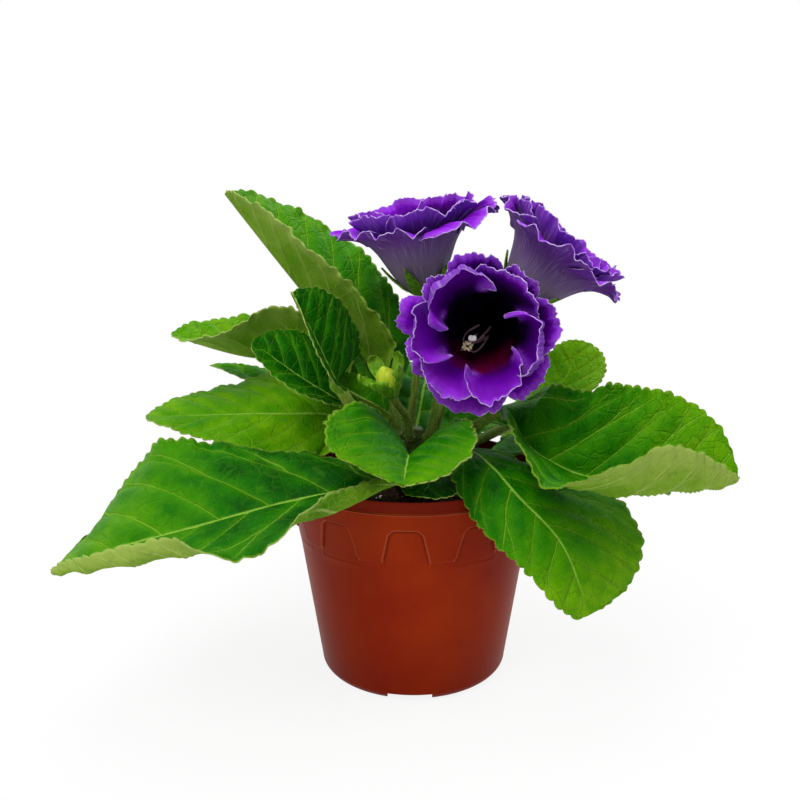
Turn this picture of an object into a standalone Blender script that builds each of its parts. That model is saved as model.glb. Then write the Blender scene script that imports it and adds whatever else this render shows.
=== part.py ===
"""Potted gloxinia: a flowering plant grown in a 120 mm thermoformed nursery pot.

Lengths are millimetres until a mesh is made.  The origin is the centre of the pot's underside,
+Z is up and the front of the plant looks along -Y.  Bearings are degrees from +X towards +Y.
"""
import bpy
import bmesh
import numpy as np
from math import cos, sin, radians, pi
from mathutils import Matrix, Vector

MM = 0.001

# ---- pot ----------------------------------------------------------------------------------------
RIM_RADIUS = 60.0           # outside of the ledge under the lip
POT_HEIGHT = 102.6
BASE_RADIUS = 46.1          # outside of the wall where the bottom corner starts
BASE_CORNER = 5.5
WALL = 1.3
COLLAR_FROM = 75.0          # the thicker collar starts here
COLLAR_STEP = 1.0           # how far the collar stands proud of the wall
LEDGE_AT = 97.0
LIP_SET_BACK = 0.8
NICHES = 11                 # stacking niches pressed into the collar
NICHE_HALF_ANGLE = 10.1     # at their feet
NICHE_SHOULDER = 7.0        # half angle where the top corners start to round off
NICHE_CROWN = 5.0           # half angle of the flat top
NICHE_TOP = 89.4
FIRST_NICHE = -93.3
FLOOR_AT = 5.2              # inside floor
CHANNELS = 4                # drain channels under the base
CHANNEL_BEARING = -92.4
CHANNEL_WIDTH = 21.0
CHANNEL_HEIGHT = 3.9
CHANNEL_LENGTH = 40.0       # long enough to run out through the wall
CHANNEL_FROM = 26.0
DRAIN_HOLE_AT = 9.0         # from the channel's inner end
DRAIN_HOLE_RADIUS = 3.5
GAP = 0.35                  # clearance between pieces that touch

# ---- potting mix and crown ----------------------------------------------------------------------
SOIL_TOP = 91.5
CROWN_PROFILE = [(9.0, 0.5), (9.6, 4.0), (8.6, 11.0), (7.0, 20.0), (5.6, 26.0), (4.2, 28.6)]

# ---- leaves -------------------------------------------------------------------------------------
BLADE_THICKNESS = 1.2
STALK_RADIUS = 2.7
RIB_DEPTH = 2.0             # how far the midrib stands out below the blade near the stalk

# root: bearing and height on the crown.  rib: points the midrib passes on the way to the tip.
# stalk: share of the length that is bare stalk.  broad: where the blade is widest, full: the power
# its outline is drawn with (less is fuller); a pair gives each half its own.  wide: half widths left
# and right of the rib, seen from above, base towards tip.
# fold: degrees each half lifts from level, curl: degrees it then turns up towards its margin,
# both given at even steps from the blade's base to its tip.
LEAVES = {
    "leaf_front_left": dict(
        root=(247, 96), rib=[(-10, -36, 107), (-26, -52, 107), (-56, -62, 103), (-90, -68, 95),
                              (-124, -70, 86), (-152, -68, 76)],
        stalk=0.16, broad=(0.50, 0.75), full=(0.50, 0.30), wide=(38, 59), columns=5,
        fold_left=(-8, -8, -4, 0), curl_left=(60, 20, 10, 70), fold_right=(30, 21, 29, 6)),
    "leaf_left_low": dict(
        root=(186, 100), rib=[(-35, 2, 124), (-64, 4, 126), (-96, 2, 126), (-126, -2, 126)],
        stalk=0.22, broad=0.42, full=0.50, wide=(27, 36), fold_left=(-50, -24, 0), fold_right=(38, 20, 10)),
    "leaf_left_mid": dict(
        root=(150, 106), rib=[(-28, 26, 136), (-56, 36, 146), (-88, 36, 150), (-120, 32, 160)],
        stalk=0.22, broad=0.45, full=0.50, wide=(38, 32), fold_left=(45, 50, 0), fold_right=(30, 40, 30)),
    "leaf_left_small": dict(
        root=(208, 109), rib=[(-28, -12, 131), (-51, -17, 148), (-71, -20, 164)],
        stalk=0.42, broad=0.50, full=0.48, wide=(20, 24), fold_left=(0, 0, -15), fold_right=(40, 48, 38)),
    "leaf_upper_left": dict(
        root=(118, 112), rib=[(-14, 20, 139), (-38, 24, 165), (-65, 28, 197), (-89, 30, 227)],
        stalk=0.20, broad=0.50, full=0.42, wide=(38, 41), fold_left=(55, 40, 25), fold_right=(62, 44, 25)),
    "leaf_upright": dict(
        root=(232, 113), rib=[(-22, -20, 127), (-33, -29, 147), (-42, -33, 168), (-51, -34, 187)],
        stalk=0.50, broad=0.38, full=0.42, wide=(10, 26), fold_left=(50,), fold_right=(65, 52, 50)),
    "leaf_front": dict(
        root=(268, 105), rib=[(-2, -44, 119), (-3, -62, 119), (-4, -84, 118)],
        stalk=0.20, broad=(0.52, 0.64), full=(0.38, 0.32), wide=(31, 38), fold_left=(54, 25, 10),
        fold_right=(62, 34, 18)),
    "leaf_under_front": dict(
        root=(280, 98), rib=[(6, -26, 103.6), (7, -42, 106), (3, -58, 105)],
        stalk=0.30, broad=0.62, full=0.42, wide=(15, 12), fold_left=(10, 0, -6),
        fold_right=(10, 0, -6)),
    "leaf_right": dict(
        root=(338, 107), rib=[(28, -12, 123), (41, -17, 132), (52, -28, 118), (70, -40, 110),
                              (98, -47, 106), (139, -48, 110)],
        stalk=0.27, broad=(0.40, 0.62), full=(0.38, 0.42), wide=(64, 37), columns=5,
        fold_left=(26, 26, 38, 58), fold_right=(20, -6, 0, 15), curl_right=(0, 50, 120, 120)),
    "leaf_front_right": dict(
        root=(312, 97), rib=[(25, -34, 118), (33, -46, 115), (43, -59, 106), (61, -70, 88), (72, -76, 59)],
        stalk=0.24, broad=(0.62, 0.48), full=(0.30, 0.38), wide=(50, 21), fold_left=(-25, 4, 30),
        fold_right=(0, -26, -50, -46, -36)),
    "leaf_back_right": dict(
        root=(40, 101), rib=[(33, 30, 106), (68, 49, 121), (84, 62, 137), (89, 72, 151)],
        stalk=0.50, broad=0.50, full=0.42, wide=(18, 23), fold_left=(20,), fold_right=(0,)),
    "leaf_right_small": dict(
        root=(2, 110), rib=[(17, 0, 119), (31, -2, 124), (46, -5, 122)],
        stalk=0.30, broad=0.50, full=0.45, wide=(14, 7), fold_left=(35,), fold_right=(10,)),
    "leaf_inner": dict(
        root=(203, 117), rib=[(-12, -8, 127), (-24, -13, 137), (-38, -17, 146)],
        stalk=0.30, broad=0.50, full=0.45, wide=(7, 11), fold_left=(10,), fold_right=(60,)),
    "leaf_back_left": dict(
        root=(158, 97), rib=[(-34, 24, 112), (-62, 44, 124), (-88, 60, 133), (-110, 68, 138)],
        stalk=0.25, broad=0.45, full=0.50, wide=(16, 16), fold_left=(15,), fold_right=(15,)),
    "leaf_back_far_left": dict(
        root=(122, 100), rib=[(-20, 36, 118), (-36, 66, 127), (-48, 96, 124), (-54, 122, 110)],
        stalk=0.22, broad=0.48, full=0.48, wide=(30, 30), fold_left=(20, 15, 5), fold_right=(20, 15, 5)),
    "leaf_back": dict(
        root=(88, 104), rib=[(4, 34, 126), (8, 64, 136), (10, 96, 130), (10, 124, 112)],
        stalk=0.22, broad=0.48, full=0.48, wide=(32, 32), fold_left=(20, 15, 5), fold_right=(20, 15, 5)),
    "leaf_back_far_right": dict(
        root=(66, 97), rib=[(18, 38, 104), (34, 68, 106), (46, 94, 100), (56, 116, 86)],
        stalk=0.22, broad=0.50, full=0.46, wide=(28, 28), fold_left=(15, 10, 0), fold_right=(15, 10, 0)),
    "leaf_right_back": dict(
        root=(8, 98), rib=[(36, 4, 105), (66, 8, 107), (98, 8, 101), (126, 4, 87)],
        stalk=0.24, broad=0.50, full=0.46, wide=(28, 28), fold_left=(15, 10, 0), fold_right=(15, 10, 0)),
}

# ---- flowers ------------------------------------------------------------------------------------
# at: centre of the tube's base.  axis: the way the flower faces.  turn: degrees about that axis.
# root: bearing and height of the flower stalk on the crown, via: points it passes.
FLOWERS = {
    "front": dict(at=(32, -9, 169), axis=(-0.14, -0.98, 0.05), turn=0, lobes=8, root=(322, 116), via=[(12, -3, 138), (28, 4, 158)]),
    "left": dict(at=(5, 8, 183), axis=(-0.17, -0.10, 0.98), turn=20, lobes=7, root=(100, 116), via=[(1, 9, 140), (4, 10, 165)]),
    "right": dict(at=(46, 1, 179), axis=(0.62, -0.12, 0.77), turn=10, lobes=7, root=(20, 116), via=[(18, 10, 138), (37, 10, 160)]),
}
COROLLA = [(3.4, 0.0), (7.6, 3.0), (11.6, 8.0), (15.2, 15.0), (18.8, 22.0), (24.0, 28.0), (30.0, 31.5), (35.5, 33.0)]
INNER_COROLLA = [(14.4, 17.5), (16.4, 23.0), (20.0, 29.5), (24.5, 34.0), (28.5, 36.5)]
INNER_LOBES = 6
PETAL_THICKNESS = 0.9
SEPALS = 5
SEPAL_THICKNESS = 0.9
FLOWER_STALK_RADIUS = 1.7
FILAMENT_RADIUS = 0.7

BUD = dict(at=(-10, -24, 143), axis=(-0.25, -0.45, 0.86), root=(258, 117), via=[(-3, -11, 127), (-8, -20, 137)])
BUD_PROFILE = [(1.8, 0.0), (4.0, 3.0), (4.7, 6.5), (3.9, 9.8), (2.0, 12.4)]


def material(name, rgb, roughness):
    """Plain Principled material; rgb is 0-255 as seen on screen."""
    made = bpy.data.materials.new(name)
    made.use_nodes = True
    shader = made.node_tree.nodes["Principled BSDF"]
    linear = [((c / 255 + 0.055) / 1.055) ** 2.4 if c > 10 else c / 255 / 12.92 for c in rgb]
    shader.inputs["Base Color"].default_value = (*linear, 1.0)
    shader.inputs["Roughness"].default_value = roughness
    shader.inputs["Metallic"].default_value = 0.0
    made.diffuse_color = (*linear, 1.0)
    return made


def to_object(name, bm, mat, parent=None):
    mesh = bpy.data.meshes.new(name)
    bm.to_mesh(mesh)
    bm.free()
    mesh.materials.append(mat)
    mesh.shade_smooth()
    mesh.set_sharp_from_angle(angle=radians(35))
    made = bpy.data.objects.new(name, mesh)
    bpy.context.scene.collection.objects.link(made)
    made.parent = parent
    return made


def loft(name, rings, mat, parent=None):
    """Closed solid through rings that hold the same number of points, capped flat at both ends."""
    bm = bmesh.new()
    loops = [[bm.verts.new(Vector(p) * MM) for p in ring] for ring in rings]
    for low, high in zip(loops, loops[1:]):
        for i in range(len(low)):
            j = (i + 1) % len(low)
            bm.faces.new((low[i], low[j], high[j], high[i]))
    bm.faces.new(reversed(loops[0]))
    bm.faces.new(loops[-1])
    bmesh.ops.recalc_face_normals(bm, faces=bm.faces)
    return to_object(name, bm, mat, parent)


def shell(name, rings, thickness, mat, parent=None, closed=True):
    """Thin cup or sleeve through rings; the rings are its outside and Solidify gives it body."""
    bm = bmesh.new()
    loops = [[bm.verts.new(Vector(p) * MM) for p in ring] for ring in rings]
    for low, high in zip(loops, loops[1:]):
        for i in range(len(low)):
            j = (i + 1) % len(low)
            bm.faces.new((low[i], low[j], high[j], high[i]))
    if closed:
        bm.faces.new(reversed(loops[0]))
    made = to_object(name, bm, mat, parent)
    solid = made.modifiers.new("Thickness", "SOLIDIFY")
    solid.thickness = thickness * MM
    solid.offset = -1.0
    solid.use_even_offset = False
    return made


def stations(values, u):
    """Smooth curve through evenly spaced values, read at u in 0..1 (Catmull-Rom)."""
    v = np.asarray(values, float)
    if len(v) == 1:
        return np.repeat(v, len(u), axis=0)
    x = np.clip(u, 0, 1) * (len(v) - 1)
    i = np.minimum(x.astype(int), len(v) - 2)
    f = (x - i).reshape(-1, *([1] * (v.ndim - 1)))
    p = np.concatenate([[2 * v[0] - v[1]], v, [2 * v[-1] - v[-2]]])
    a, b, c, d = p[i], p[i + 1], p[i + 2], p[i + 3]
    return b + 0.5 * f * (c - a + f * (2 * a - 5 * b + 4 * c - d + f * (3 * (b - c) + d - a)))


def along(points, shares):
    """Positions and directions at these shares of the length of a smooth curve through points."""
    p = np.asarray(points, float)
    knot = np.concatenate([[0], np.cumsum(np.linalg.norm(np.diff(p, axis=0), axis=1) ** 0.5)])
    slope = np.diff(p, axis=0) / np.diff(knot)[:, None]
    gap = np.diff(knot)[:, None]
    inner = (slope[:-1] * gap[1:] + slope[1:] * gap[:-1]) / (gap[1:] + gap[:-1])
    bend = np.concatenate([[1.5 * slope[0] - 0.5 * inner[0]], inner, [1.5 * slope[-1] - 0.5 * inner[-1]]])
    t = np.linspace(0, knot[-1], 241)
    i = np.clip(np.searchsorted(knot, t, side="right") - 1, 0, len(p) - 2)
    f = ((t - knot[i]) / gap[i, 0])[:, None]
    h = gap[i]
    fine = ((1 + 2 * f) * (1 - f) ** 2 * p[i] + f * (1 - f) ** 2 * h * bend[i]
            + f * f * (3 - 2 * f) * p[i + 1] + f * f * (f - 1) * h * bend[i + 1])
    run = np.concatenate([[0], np.cumsum(np.linalg.norm(np.diff(fine, axis=0), axis=1))])
    run /= run[-1]

    def at(s):
        return np.stack([np.interp(s, run, fine[:, k]) for k in range(3)], -1)

    way = at(np.clip(shares + 0.01, 0, 1)) - at(np.clip(shares - 0.01, 0, 1))
    return at(shares), way / np.linalg.norm(way, axis=1)[:, None]


def crown_radius(z):
    radii, heights = zip(*CROWN_PROFILE)
    return float(np.interp(z, np.array(heights) + SOIL_TOP, radii))


def rooted(root, reach=7.0, rise=0.2):
    """First two points of a stalk: it leaves the crown at right angles before it bends up."""
    bearing, z = radians(root[0]), root[1]
    out = np.array([cos(bearing), sin(bearing), 0.0])
    foot = (crown_radius(z) + GAP + 0.15) * out + np.array([0, 0, z])
    return [foot, foot + reach * out + np.array([0, 0, reach * rise])]


def circle(radius, z, bearings):
    return [(radius * cos(a), radius * sin(a), z) for a in bearings]


def pot_ring(z, wall_radius, half_angle=NICHE_HALF_ANGLE, tab=0.0):
    """One turn of the pot; the tabs between the niches stand out by tab."""
    ring = []
    pitch = 360 / NICHES
    for k in range(NICHES):
        middle = FIRST_NICHE + k * pitch
        for offset, proud in ((-pitch / 2, tab), (-half_angle - 0.6, tab), (-half_angle, 0),
                              (0, 0), (half_angle, 0), (half_angle + 0.6, tab)):
            a = radians(middle + offset)
            ring.append(((wall_radius + proud) * cos(a), (wall_radius + proud) * sin(a), z))
    return ring


def wall_outside(z):
    """Outside radius of the straight tapered wall, without the collar."""
    low, high = BASE_CORNER, LEDGE_AT
    top = RIM_RADIUS - COLLAR_STEP
    return BASE_RADIUS + (top - BASE_RADIUS) * (z - low) / (high - low)


def build_pot(mat):
    corner, lip = BASE_CORNER, RIM_RADIUS - LIP_SET_BACK
    foot, crown = NICHE_HALF_ANGLE, NICHE_CROWN
    rings = [pot_ring(0, CHANNEL_FROM - 3), pot_ring(0, BASE_RADIUS - corner)]
    for a in (35, 65):
        rings.append(pot_ring(corner * (1 - cos(radians(a))), BASE_RADIUS - corner * (1 - sin(radians(a)))))
    rings += [pot_ring(corner, BASE_RADIUS), pot_ring(40, wall_outside(40)),
              pot_ring(COLLAR_FROM - 0.6, wall_outside(COLLAR_FROM)),
              pot_ring(COLLAR_FROM, wall_outside(COLLAR_FROM), foot, COLLAR_STEP),
              pot_ring(NICHE_TOP - 2.3, wall_outside(NICHE_TOP - 2.3), NICHE_SHOULDER, COLLAR_STEP),
              pot_ring(NICHE_TOP, wall_outside(NICHE_TOP), crown, COLLAR_STEP),
              pot_ring(NICHE_TOP + 0.6, wall_outside(NICHE_TOP) + COLLAR_STEP, crown),
              pot_ring(LEDGE_AT - 0.4, RIM_RADIUS - 0.1, crown), pot_ring(LEDGE_AT, RIM_RADIUS, crown),
              pot_ring(LEDGE_AT + 0.3, lip, crown), pot_ring(POT_HEIGHT - 0.7, lip + 0.4, crown),
              pot_ring(POT_HEIGHT, lip, crown), pot_ring(POT_HEIGHT, lip - WALL, crown),
              pot_ring(NICHE_TOP, wall_outside(NICHE_TOP) - WALL, crown),
              pot_ring(FLOOR_AT + 3, BASE_RADIUS - WALL, foot), pot_ring(FLOOR_AT, BASE_RADIUS - WALL - 3, foot)]
    pot = loft("pot", rings, mat)

    channels = bmesh.new()
    holes = bmesh.new()
    for k in range(CHANNELS):
        turn = Matrix.Rotation(radians(CHANNEL_BEARING + 360 * k / CHANNELS), 4, "Z")
        size = Matrix.Diagonal((CHANNEL_LENGTH * MM, CHANNEL_WIDTH * MM, 2 * CHANNEL_HEIGHT * MM, 1))
        place = Matrix.Translation(Vector((CHANNEL_FROM + CHANNEL_LENGTH / 2, 0, 0)) * MM)
        bmesh.ops.create_cube(channels, size=1, matrix=turn @ place @ size)
        place = Matrix.Translation(Vector((CHANNEL_FROM + DRAIN_HOLE_AT, 0, CHANNEL_HEIGHT)) * MM)
        bmesh.ops.create_cone(holes, cap_ends=True, segments=12, radius1=DRAIN_HOLE_RADIUS * MM,
                              radius2=DRAIN_HOLE_RADIUS * MM, depth=8 * MM, matrix=turn @ place)
    for name, bm in (("channel_cutter", channels), ("drain_hole_cutter", holes)):
        cutter = to_object(name, bm, mat)
        cutter.hide_render = True
        cutter.display_type = "WIRE"
        cut = pot.modifiers.new(name, "BOOLEAN")
        cut.operation = "DIFFERENCE"
        cut.object = cutter
    return pot


def build_soil(mat):
    """The potting mix fills the pot up to about 10 mm below the rim, a little uneven on top."""
    bearings = [2 * pi * k / 24 for k in range(24)]
    inside = wall_outside(SOIL_TOP) - WALL - GAP
    rings = [circle(BASE_RADIUS - WALL - GAP - 3.6, FLOOR_AT + GAP, bearings),
             circle(BASE_RADIUS - WALL - GAP - 0.2, FLOOR_AT + 3.4, bearings),
             circle(inside - 0.2, SOIL_TOP - 2, bearings)]
    for radius, swell in ((inside - 4, 0.6), (40, 1.4), (26, 1.2), (13, 0)):
        rings.append([(radius * cos(a), radius * sin(a),
                       SOIL_TOP + swell * sin(3 * a + radius) * cos(2 * a - radius / 7)) for a in bearings])
    return loft("potting_mix", rings, mat)


def build_crown(mat):
    bearings = [2 * pi * k / 14 for k in range(14)]
    return loft("crown", [circle(r, SOIL_TOP + z, bearings) for r, z in CROWN_PROFILE], mat)


def pair(value):
    """The left and the right half's value."""
    return value if isinstance(value, tuple) else (value, value)


def outline(u, broad, full):
    """Half width of a blade as a share of its greatest, 0 at base and tip."""
    power = np.log(0.5) / np.log(broad)
    return np.sin(pi * np.clip(u, 0, 1) ** power).clip(0) ** full


def build_leaf(name, mat, root, rib, stalk, broad, full, wide, fold_left, fold_right,
               curl_left=(0,), curl_right=(0,), columns=3):
    """Stalk and blade in one: a cross-section swept along the rib, round and then flat."""
    shares = np.concatenate([[0, 0.45 * stalk], stalk + (1 - stalk) * np.linspace(0, 0.985, 11)])
    u = (shares - stalk) / (1 - stalk)
    centre, way = along(rooted(root) + rib, shares)
    level = np.cross(way, (0, 0, 1))
    level /= np.linalg.norm(level, axis=1)[:, None]
    up = np.cross(level, way)
    bare = np.clip(1 - u / 0.12, 0, 1)                    # 1 on the stalk, 0 on the blade
    stalk_radius = STALK_RADIUS * min(1, max(wide) / 24)
    keel = (RIB_DEPTH * (1 - np.clip(u, 0, 1)) + 0.2) * min(1, max(wide) / 30)
    upper, lower = {0: centre + (up.T * np.maximum(bare * stalk_radius, BLADE_THICKNESS / 2)).T}, {}
    lower[0] = centre - (up.T * np.maximum(bare * stalk_radius, BLADE_THICKNESS / 2 + keel)).T
    halves = zip((-1, 1), (fold_left, fold_right), (curl_left, curl_right), wide, pair(broad), pair(full))
    for side, fold, curl, reach, widest, power in halves:
        half = np.maximum(reach * outline(u, widest, power), stalk_radius * (1 - 0.75 * np.clip(u, 0, 1)))
        lift, turn = (np.radians(stations(v, u)) * (1 - bare) for v in (fold, curl))
        point = centre.copy()
        for k in range(1, columns + 1):
            s = k / columns
            a = lift + turn * (s - 0.5 / columns) ** 2
            outward = side * level * np.cos(a)[:, None] + up * np.sin(a)[:, None]
            point = point + outward * (half / columns)[:, None]
            normal = -side * level * np.sin(a)[:, None] + up * np.cos(a)[:, None]
            body = np.maximum(bare * stalk_radius * np.sqrt(1 - 0.96 * s * s), (1 - bare) * BLADE_THICKNESS / 2)
            upper[side * k] = point + normal * body[:, None]
            lower[side * k] = point - normal * body[:, None]
    order = range(-columns, columns + 1)
    rings = [[upper[k][i] for k in order] + [lower[k][i] for k in reversed(order)] for i in range(len(shares))]
    return loft(name, rings, mat)


def build_stalk(name, points, radius, mat, sides=8, rings_wanted=9):
    """Round stalk along a smooth curve, blunt at both ends."""
    centre, way = along(np.array(points, float), np.linspace(0, 1, rings_wanted))
    rings = []
    across = np.cross(way[0], (0.3, 0.2, 1.0))
    for p, w in zip(centre, way):
        across = across - w * across.dot(w)
        across /= np.linalg.norm(across)
        other = np.cross(w, across)
        rings.append([p + radius * (across * cos(2 * pi * k / sides) + other * sin(2 * pi * k / sides))
                      for k in range(sides)])
    return loft(name, rings, mat)


def flower_frame(name, at, axis, turn=0):
    """Empty whose +Z is the way the flower faces."""
    frame = bpy.data.objects.new(name, None)
    bpy.context.scene.collection.objects.link(frame)
    way = Vector(axis).normalized()
    frame.matrix_world = (Matrix.Translation(Vector(at) * MM) @ way.to_track_quat("Z", "Y").to_matrix().to_4x4()
                          @ Matrix.Rotation(radians(turn), 4, "Z"))
    return frame


def lobe_wave(a, lobes):
    """1 in the middle of a lobe, falling to 0 in the notch between two."""
    return abs(cos(lobes * a / 2)) ** 0.7


def build_corolla(name, profile, lobes, notch, ruffle, columns, mat, frame, closed):
    bearings = [2 * pi * k / columns for k in range(columns)]
    rings = []
    reach = profile[-1][0]
    for radius, z in profile:
        edge = max(0.0, (radius / reach - 0.55) / 0.45) ** 1.5
        rings.append([((radius * (1 - notch * edge * (1 - lobe_wave(a, lobes)))) * cos(a),
                       (radius * (1 - notch * edge * (1 - lobe_wave(a, lobes)))) * sin(a),
                       z + ruffle * edge * sin(lobes * a + 1.0)) for a in bearings])
    return shell(name, rings, PETAL_THICKNESS, mat, frame, closed)


def build_calyx(name, profile, length, mat, frame, columns=15):
    """Cup with pointed sepals that lie close along the outside of the corolla or bud."""
    radii, heights = zip(*profile)
    bearings = [2 * pi * k / columns for k in range(columns)]
    rings = [circle(2.6, -2.4, bearings), circle(radii[0] + 1.6, -1.2, bearings)]
    for share in (0.35, 0.7, 1.0):
        ring = []
        for a in bearings:
            z = length * share * (0.22 + 0.78 * abs(cos(SEPALS * a / 2)) ** 1.3)
            radius = float(np.interp(z, heights, radii)) + SEPAL_THICKNESS + GAP + 0.5 + 1.5 * share * z / length
            ring.append((radius * cos(a), radius * sin(a), z))
        rings.append(ring)
    return shell(name, rings, SEPAL_THICKNESS, mat, frame, True)


def build_stamens(name, mat, frame):
    """Four filaments that rise from the tube's floor and hold their joined anthers in the throat."""
    arches = []
    for k, bearing in enumerate((35, 125)):
        a = radians(bearing)
        out = np.array([cos(a), sin(a), 0])
        points = [4.2 * out + (0, 0, 3.6), 6.5 * out + (0, 0, 10), 4.0 * out + (0, 0, 17), (0, 0, 19.0 + 0.5 * k),
                  -4.0 * out + (0, 0, 17), -6.5 * out + (0, 0, 10), -4.2 * out + (0, 0, 3.6)]
        arches.append(build_stalk(f"{name}_arch_{k}" if k else name, points, FILAMENT_RADIUS, mat, 6, 11))
    anthers = bmesh.new()
    bmesh.ops.create_icosphere(anthers, subdivisions=1, radius=1,
                               matrix=Matrix.Translation(Vector((0, 0, 19.2)) * MM)
                               @ Matrix.Diagonal((3.4 * MM, 3.4 * MM, 1.7 * MM, 1)))
    lump = to_object(name + "_anthers", anthers, mat)
    stamens = arches[0]
    for other in (arches[1], lump):
        other.hide_render = True
        other.display_type = "WIRE"
        join = stamens.modifiers.new(other.name, "BOOLEAN")
        join.operation = "UNION"
        join.object = other
    for piece in (*arches, lump):
        piece.parent = frame
    return stamens


def build_flower(name, spec, mats):
    frame = flower_frame("flower_" + name, spec["at"], spec["axis"], spec["turn"])
    build_corolla("corolla_outer_" + name, COROLLA, spec["lobes"], 0.14, 1.3, 28, mats["petal"], frame, True)
    build_corolla("corolla_inner_" + name, INNER_COROLLA, INNER_LOBES, 0.20, 1.0, 24, mats["petal_inner"], frame, False)
    build_calyx("calyx_" + name, COROLLA, 15, mats["calyx"], frame)
    build_stamens("stamens_" + name, mats["stamen"], frame)
    pistil = build_stalk("pistil_" + name, [(0, -4.5, 3.4), (0, -5.5, 10), (0, -4.6, 18), (0, -2.6, 24)],
                         1.0, mats["pistil"], 6, 6)
    pistil.parent = frame
    way = Vector(spec["axis"]).normalized()
    foot = Vector(spec["at"]) - way * (2.4 + GAP)
    points = rooted(spec["root"], 3.0, 0.5) + spec["via"] + [tuple(foot - way * 5), tuple(foot)]
    build_stalk("flower_stalk_" + name, points, FLOWER_STALK_RADIUS, mats["stalk"])


def build_bud(mats):
    frame = flower_frame("bud_frame", BUD["at"], BUD["axis"])
    bearings = [2 * pi * k / 10 for k in range(10)]
    loft("bud", [circle(r, z, bearings) for r, z in BUD_PROFILE], mats["bud"], frame)
    build_calyx("bud_calyx", BUD_PROFILE, 11, mats["calyx"], frame)
    way = Vector(BUD["axis"]).normalized()
    foot = Vector(BUD["at"]) - way * (2.4 + GAP)
    points = rooted(BUD["root"], 3.0, 0.5) + BUD["via"] + [tuple(foot)]
    build_stalk("bud_stalk", points, FLOWER_STALK_RADIUS, mats["stalk"], 8, 7)


def main():
    for old in list(bpy.data.objects):
        bpy.data.objects.remove(old, do_unlink=True)
    build_pot(material("pot_plastic", (123, 40, 12), 0.38))
    build_soil(material("potting_mix", (48, 36, 28), 0.95))
    build_crown(material("crown_skin", (92, 96, 42), 0.75))
    leaf = material("leaf", (52, 118, 16), 0.55)
    for name, spec in LEAVES.items():
        build_leaf(name, leaf, **spec)
    mats = dict(petal=material("petal", (104, 24, 160), 0.5), petal_inner=material("petal_inner", (84, 8, 140), 0.5),
                calyx=material("calyx", (70, 120, 30), 0.6), stamen=material("stamen", (214, 196, 150), 0.6),
                pistil=material("pistil", (226, 220, 214), 0.5), stalk=material("flower_stalk", (110, 120, 52), 0.6),
                bud=material("bud", (150, 170, 60), 0.55))
    for name, spec in FLOWERS.items():
        build_flower(name, spec, mats)
    build_bud(mats)
    bpy.context.view_layer.update()


main()
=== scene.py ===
"""Potted gloxinia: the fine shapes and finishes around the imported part.

Lengths are millimetres until a mesh is made. Bearings are degrees from +X towards +Y.
"""
from math import cos, sin, pi, radians
from types import SimpleNamespace
import bpy
import bmesh
import numpy as np
from mathutils import Matrix, Vector


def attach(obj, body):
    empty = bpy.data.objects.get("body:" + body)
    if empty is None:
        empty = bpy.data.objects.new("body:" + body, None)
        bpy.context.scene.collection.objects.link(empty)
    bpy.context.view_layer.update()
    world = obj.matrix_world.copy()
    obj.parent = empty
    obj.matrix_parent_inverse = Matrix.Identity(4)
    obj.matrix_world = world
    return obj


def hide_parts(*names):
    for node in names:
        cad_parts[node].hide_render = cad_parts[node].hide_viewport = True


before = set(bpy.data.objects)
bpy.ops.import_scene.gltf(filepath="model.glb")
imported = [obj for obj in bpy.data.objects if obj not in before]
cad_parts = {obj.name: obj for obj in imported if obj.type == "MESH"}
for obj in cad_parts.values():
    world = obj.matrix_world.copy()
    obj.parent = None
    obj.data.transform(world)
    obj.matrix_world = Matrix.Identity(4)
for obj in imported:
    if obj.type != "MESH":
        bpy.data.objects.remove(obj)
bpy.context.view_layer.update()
MM = 0.001

# ---- sizes of the pot, the mix and the crown, as in the part ------------------------------------
POT_HEIGHT = 102.6
RIM_RADIUS = 60.0           # of the ledge under the lip
LIP_SET_BACK = 0.8          # how far the lip stands inside the ledge's edge
LEDGE_AT = 97.0
BASE_RADIUS = 46.1
BASE_CORNER = 5.5           # rounding between underside and wall
WALL = 1.3
FLOOR_AT = 5.2              # height of the pot's inner floor
COLLAR_FROM = 75.0
COLLAR_STEP = 1.0           # how far the collar stands proud of the wall
NICHES = 11
FIRST_NICHE = -93.3         # bearing of its middle
NICHE_HALF_ANGLE = 10.1     # at its foot
NICHE_LEAN = 0.24           # how much its sides lean in, as a slope
NICHE_TOP = 89.4
NICHE_TOP_HALF = 5.1        # half its width at the top, where the corners are cut
CHANNELS = 4
CHANNEL_BEARING = -92.4
CHANNEL_WIDTH = 21.0
CHANNEL_HEIGHT = 3.9
CHANNEL_FROM = 26.0         # distance from the axis at which a channel begins
CHANNEL_LENGTH = 40.0       # long enough to run out through the wall
DRAIN_HOLE_RADIUS = 3.5
GAP = 0.35                  # between pieces that lie in each other
SOIL_TOP = 91.5
CROWN_PROFILE = [(9.0, 0.5), (9.6, 4.0), (8.6, 11.0), (7.0, 20.0), (5.6, 26.0), (4.2, 28.6)]

# ---- leaves -------------------------------------------------------------------------------------
STALK_RADIUS = 2.7
RIB_DEPTH = 2.0             # how far the midrib stands out under the blade's base
GROWN_HALF_WIDTH = 34       # a leaf at least this wide has full-size teeth, veins and thickness
STOUT_HALF_WIDTH = 24       # a leaf at least this wide has a full-size stalk

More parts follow.
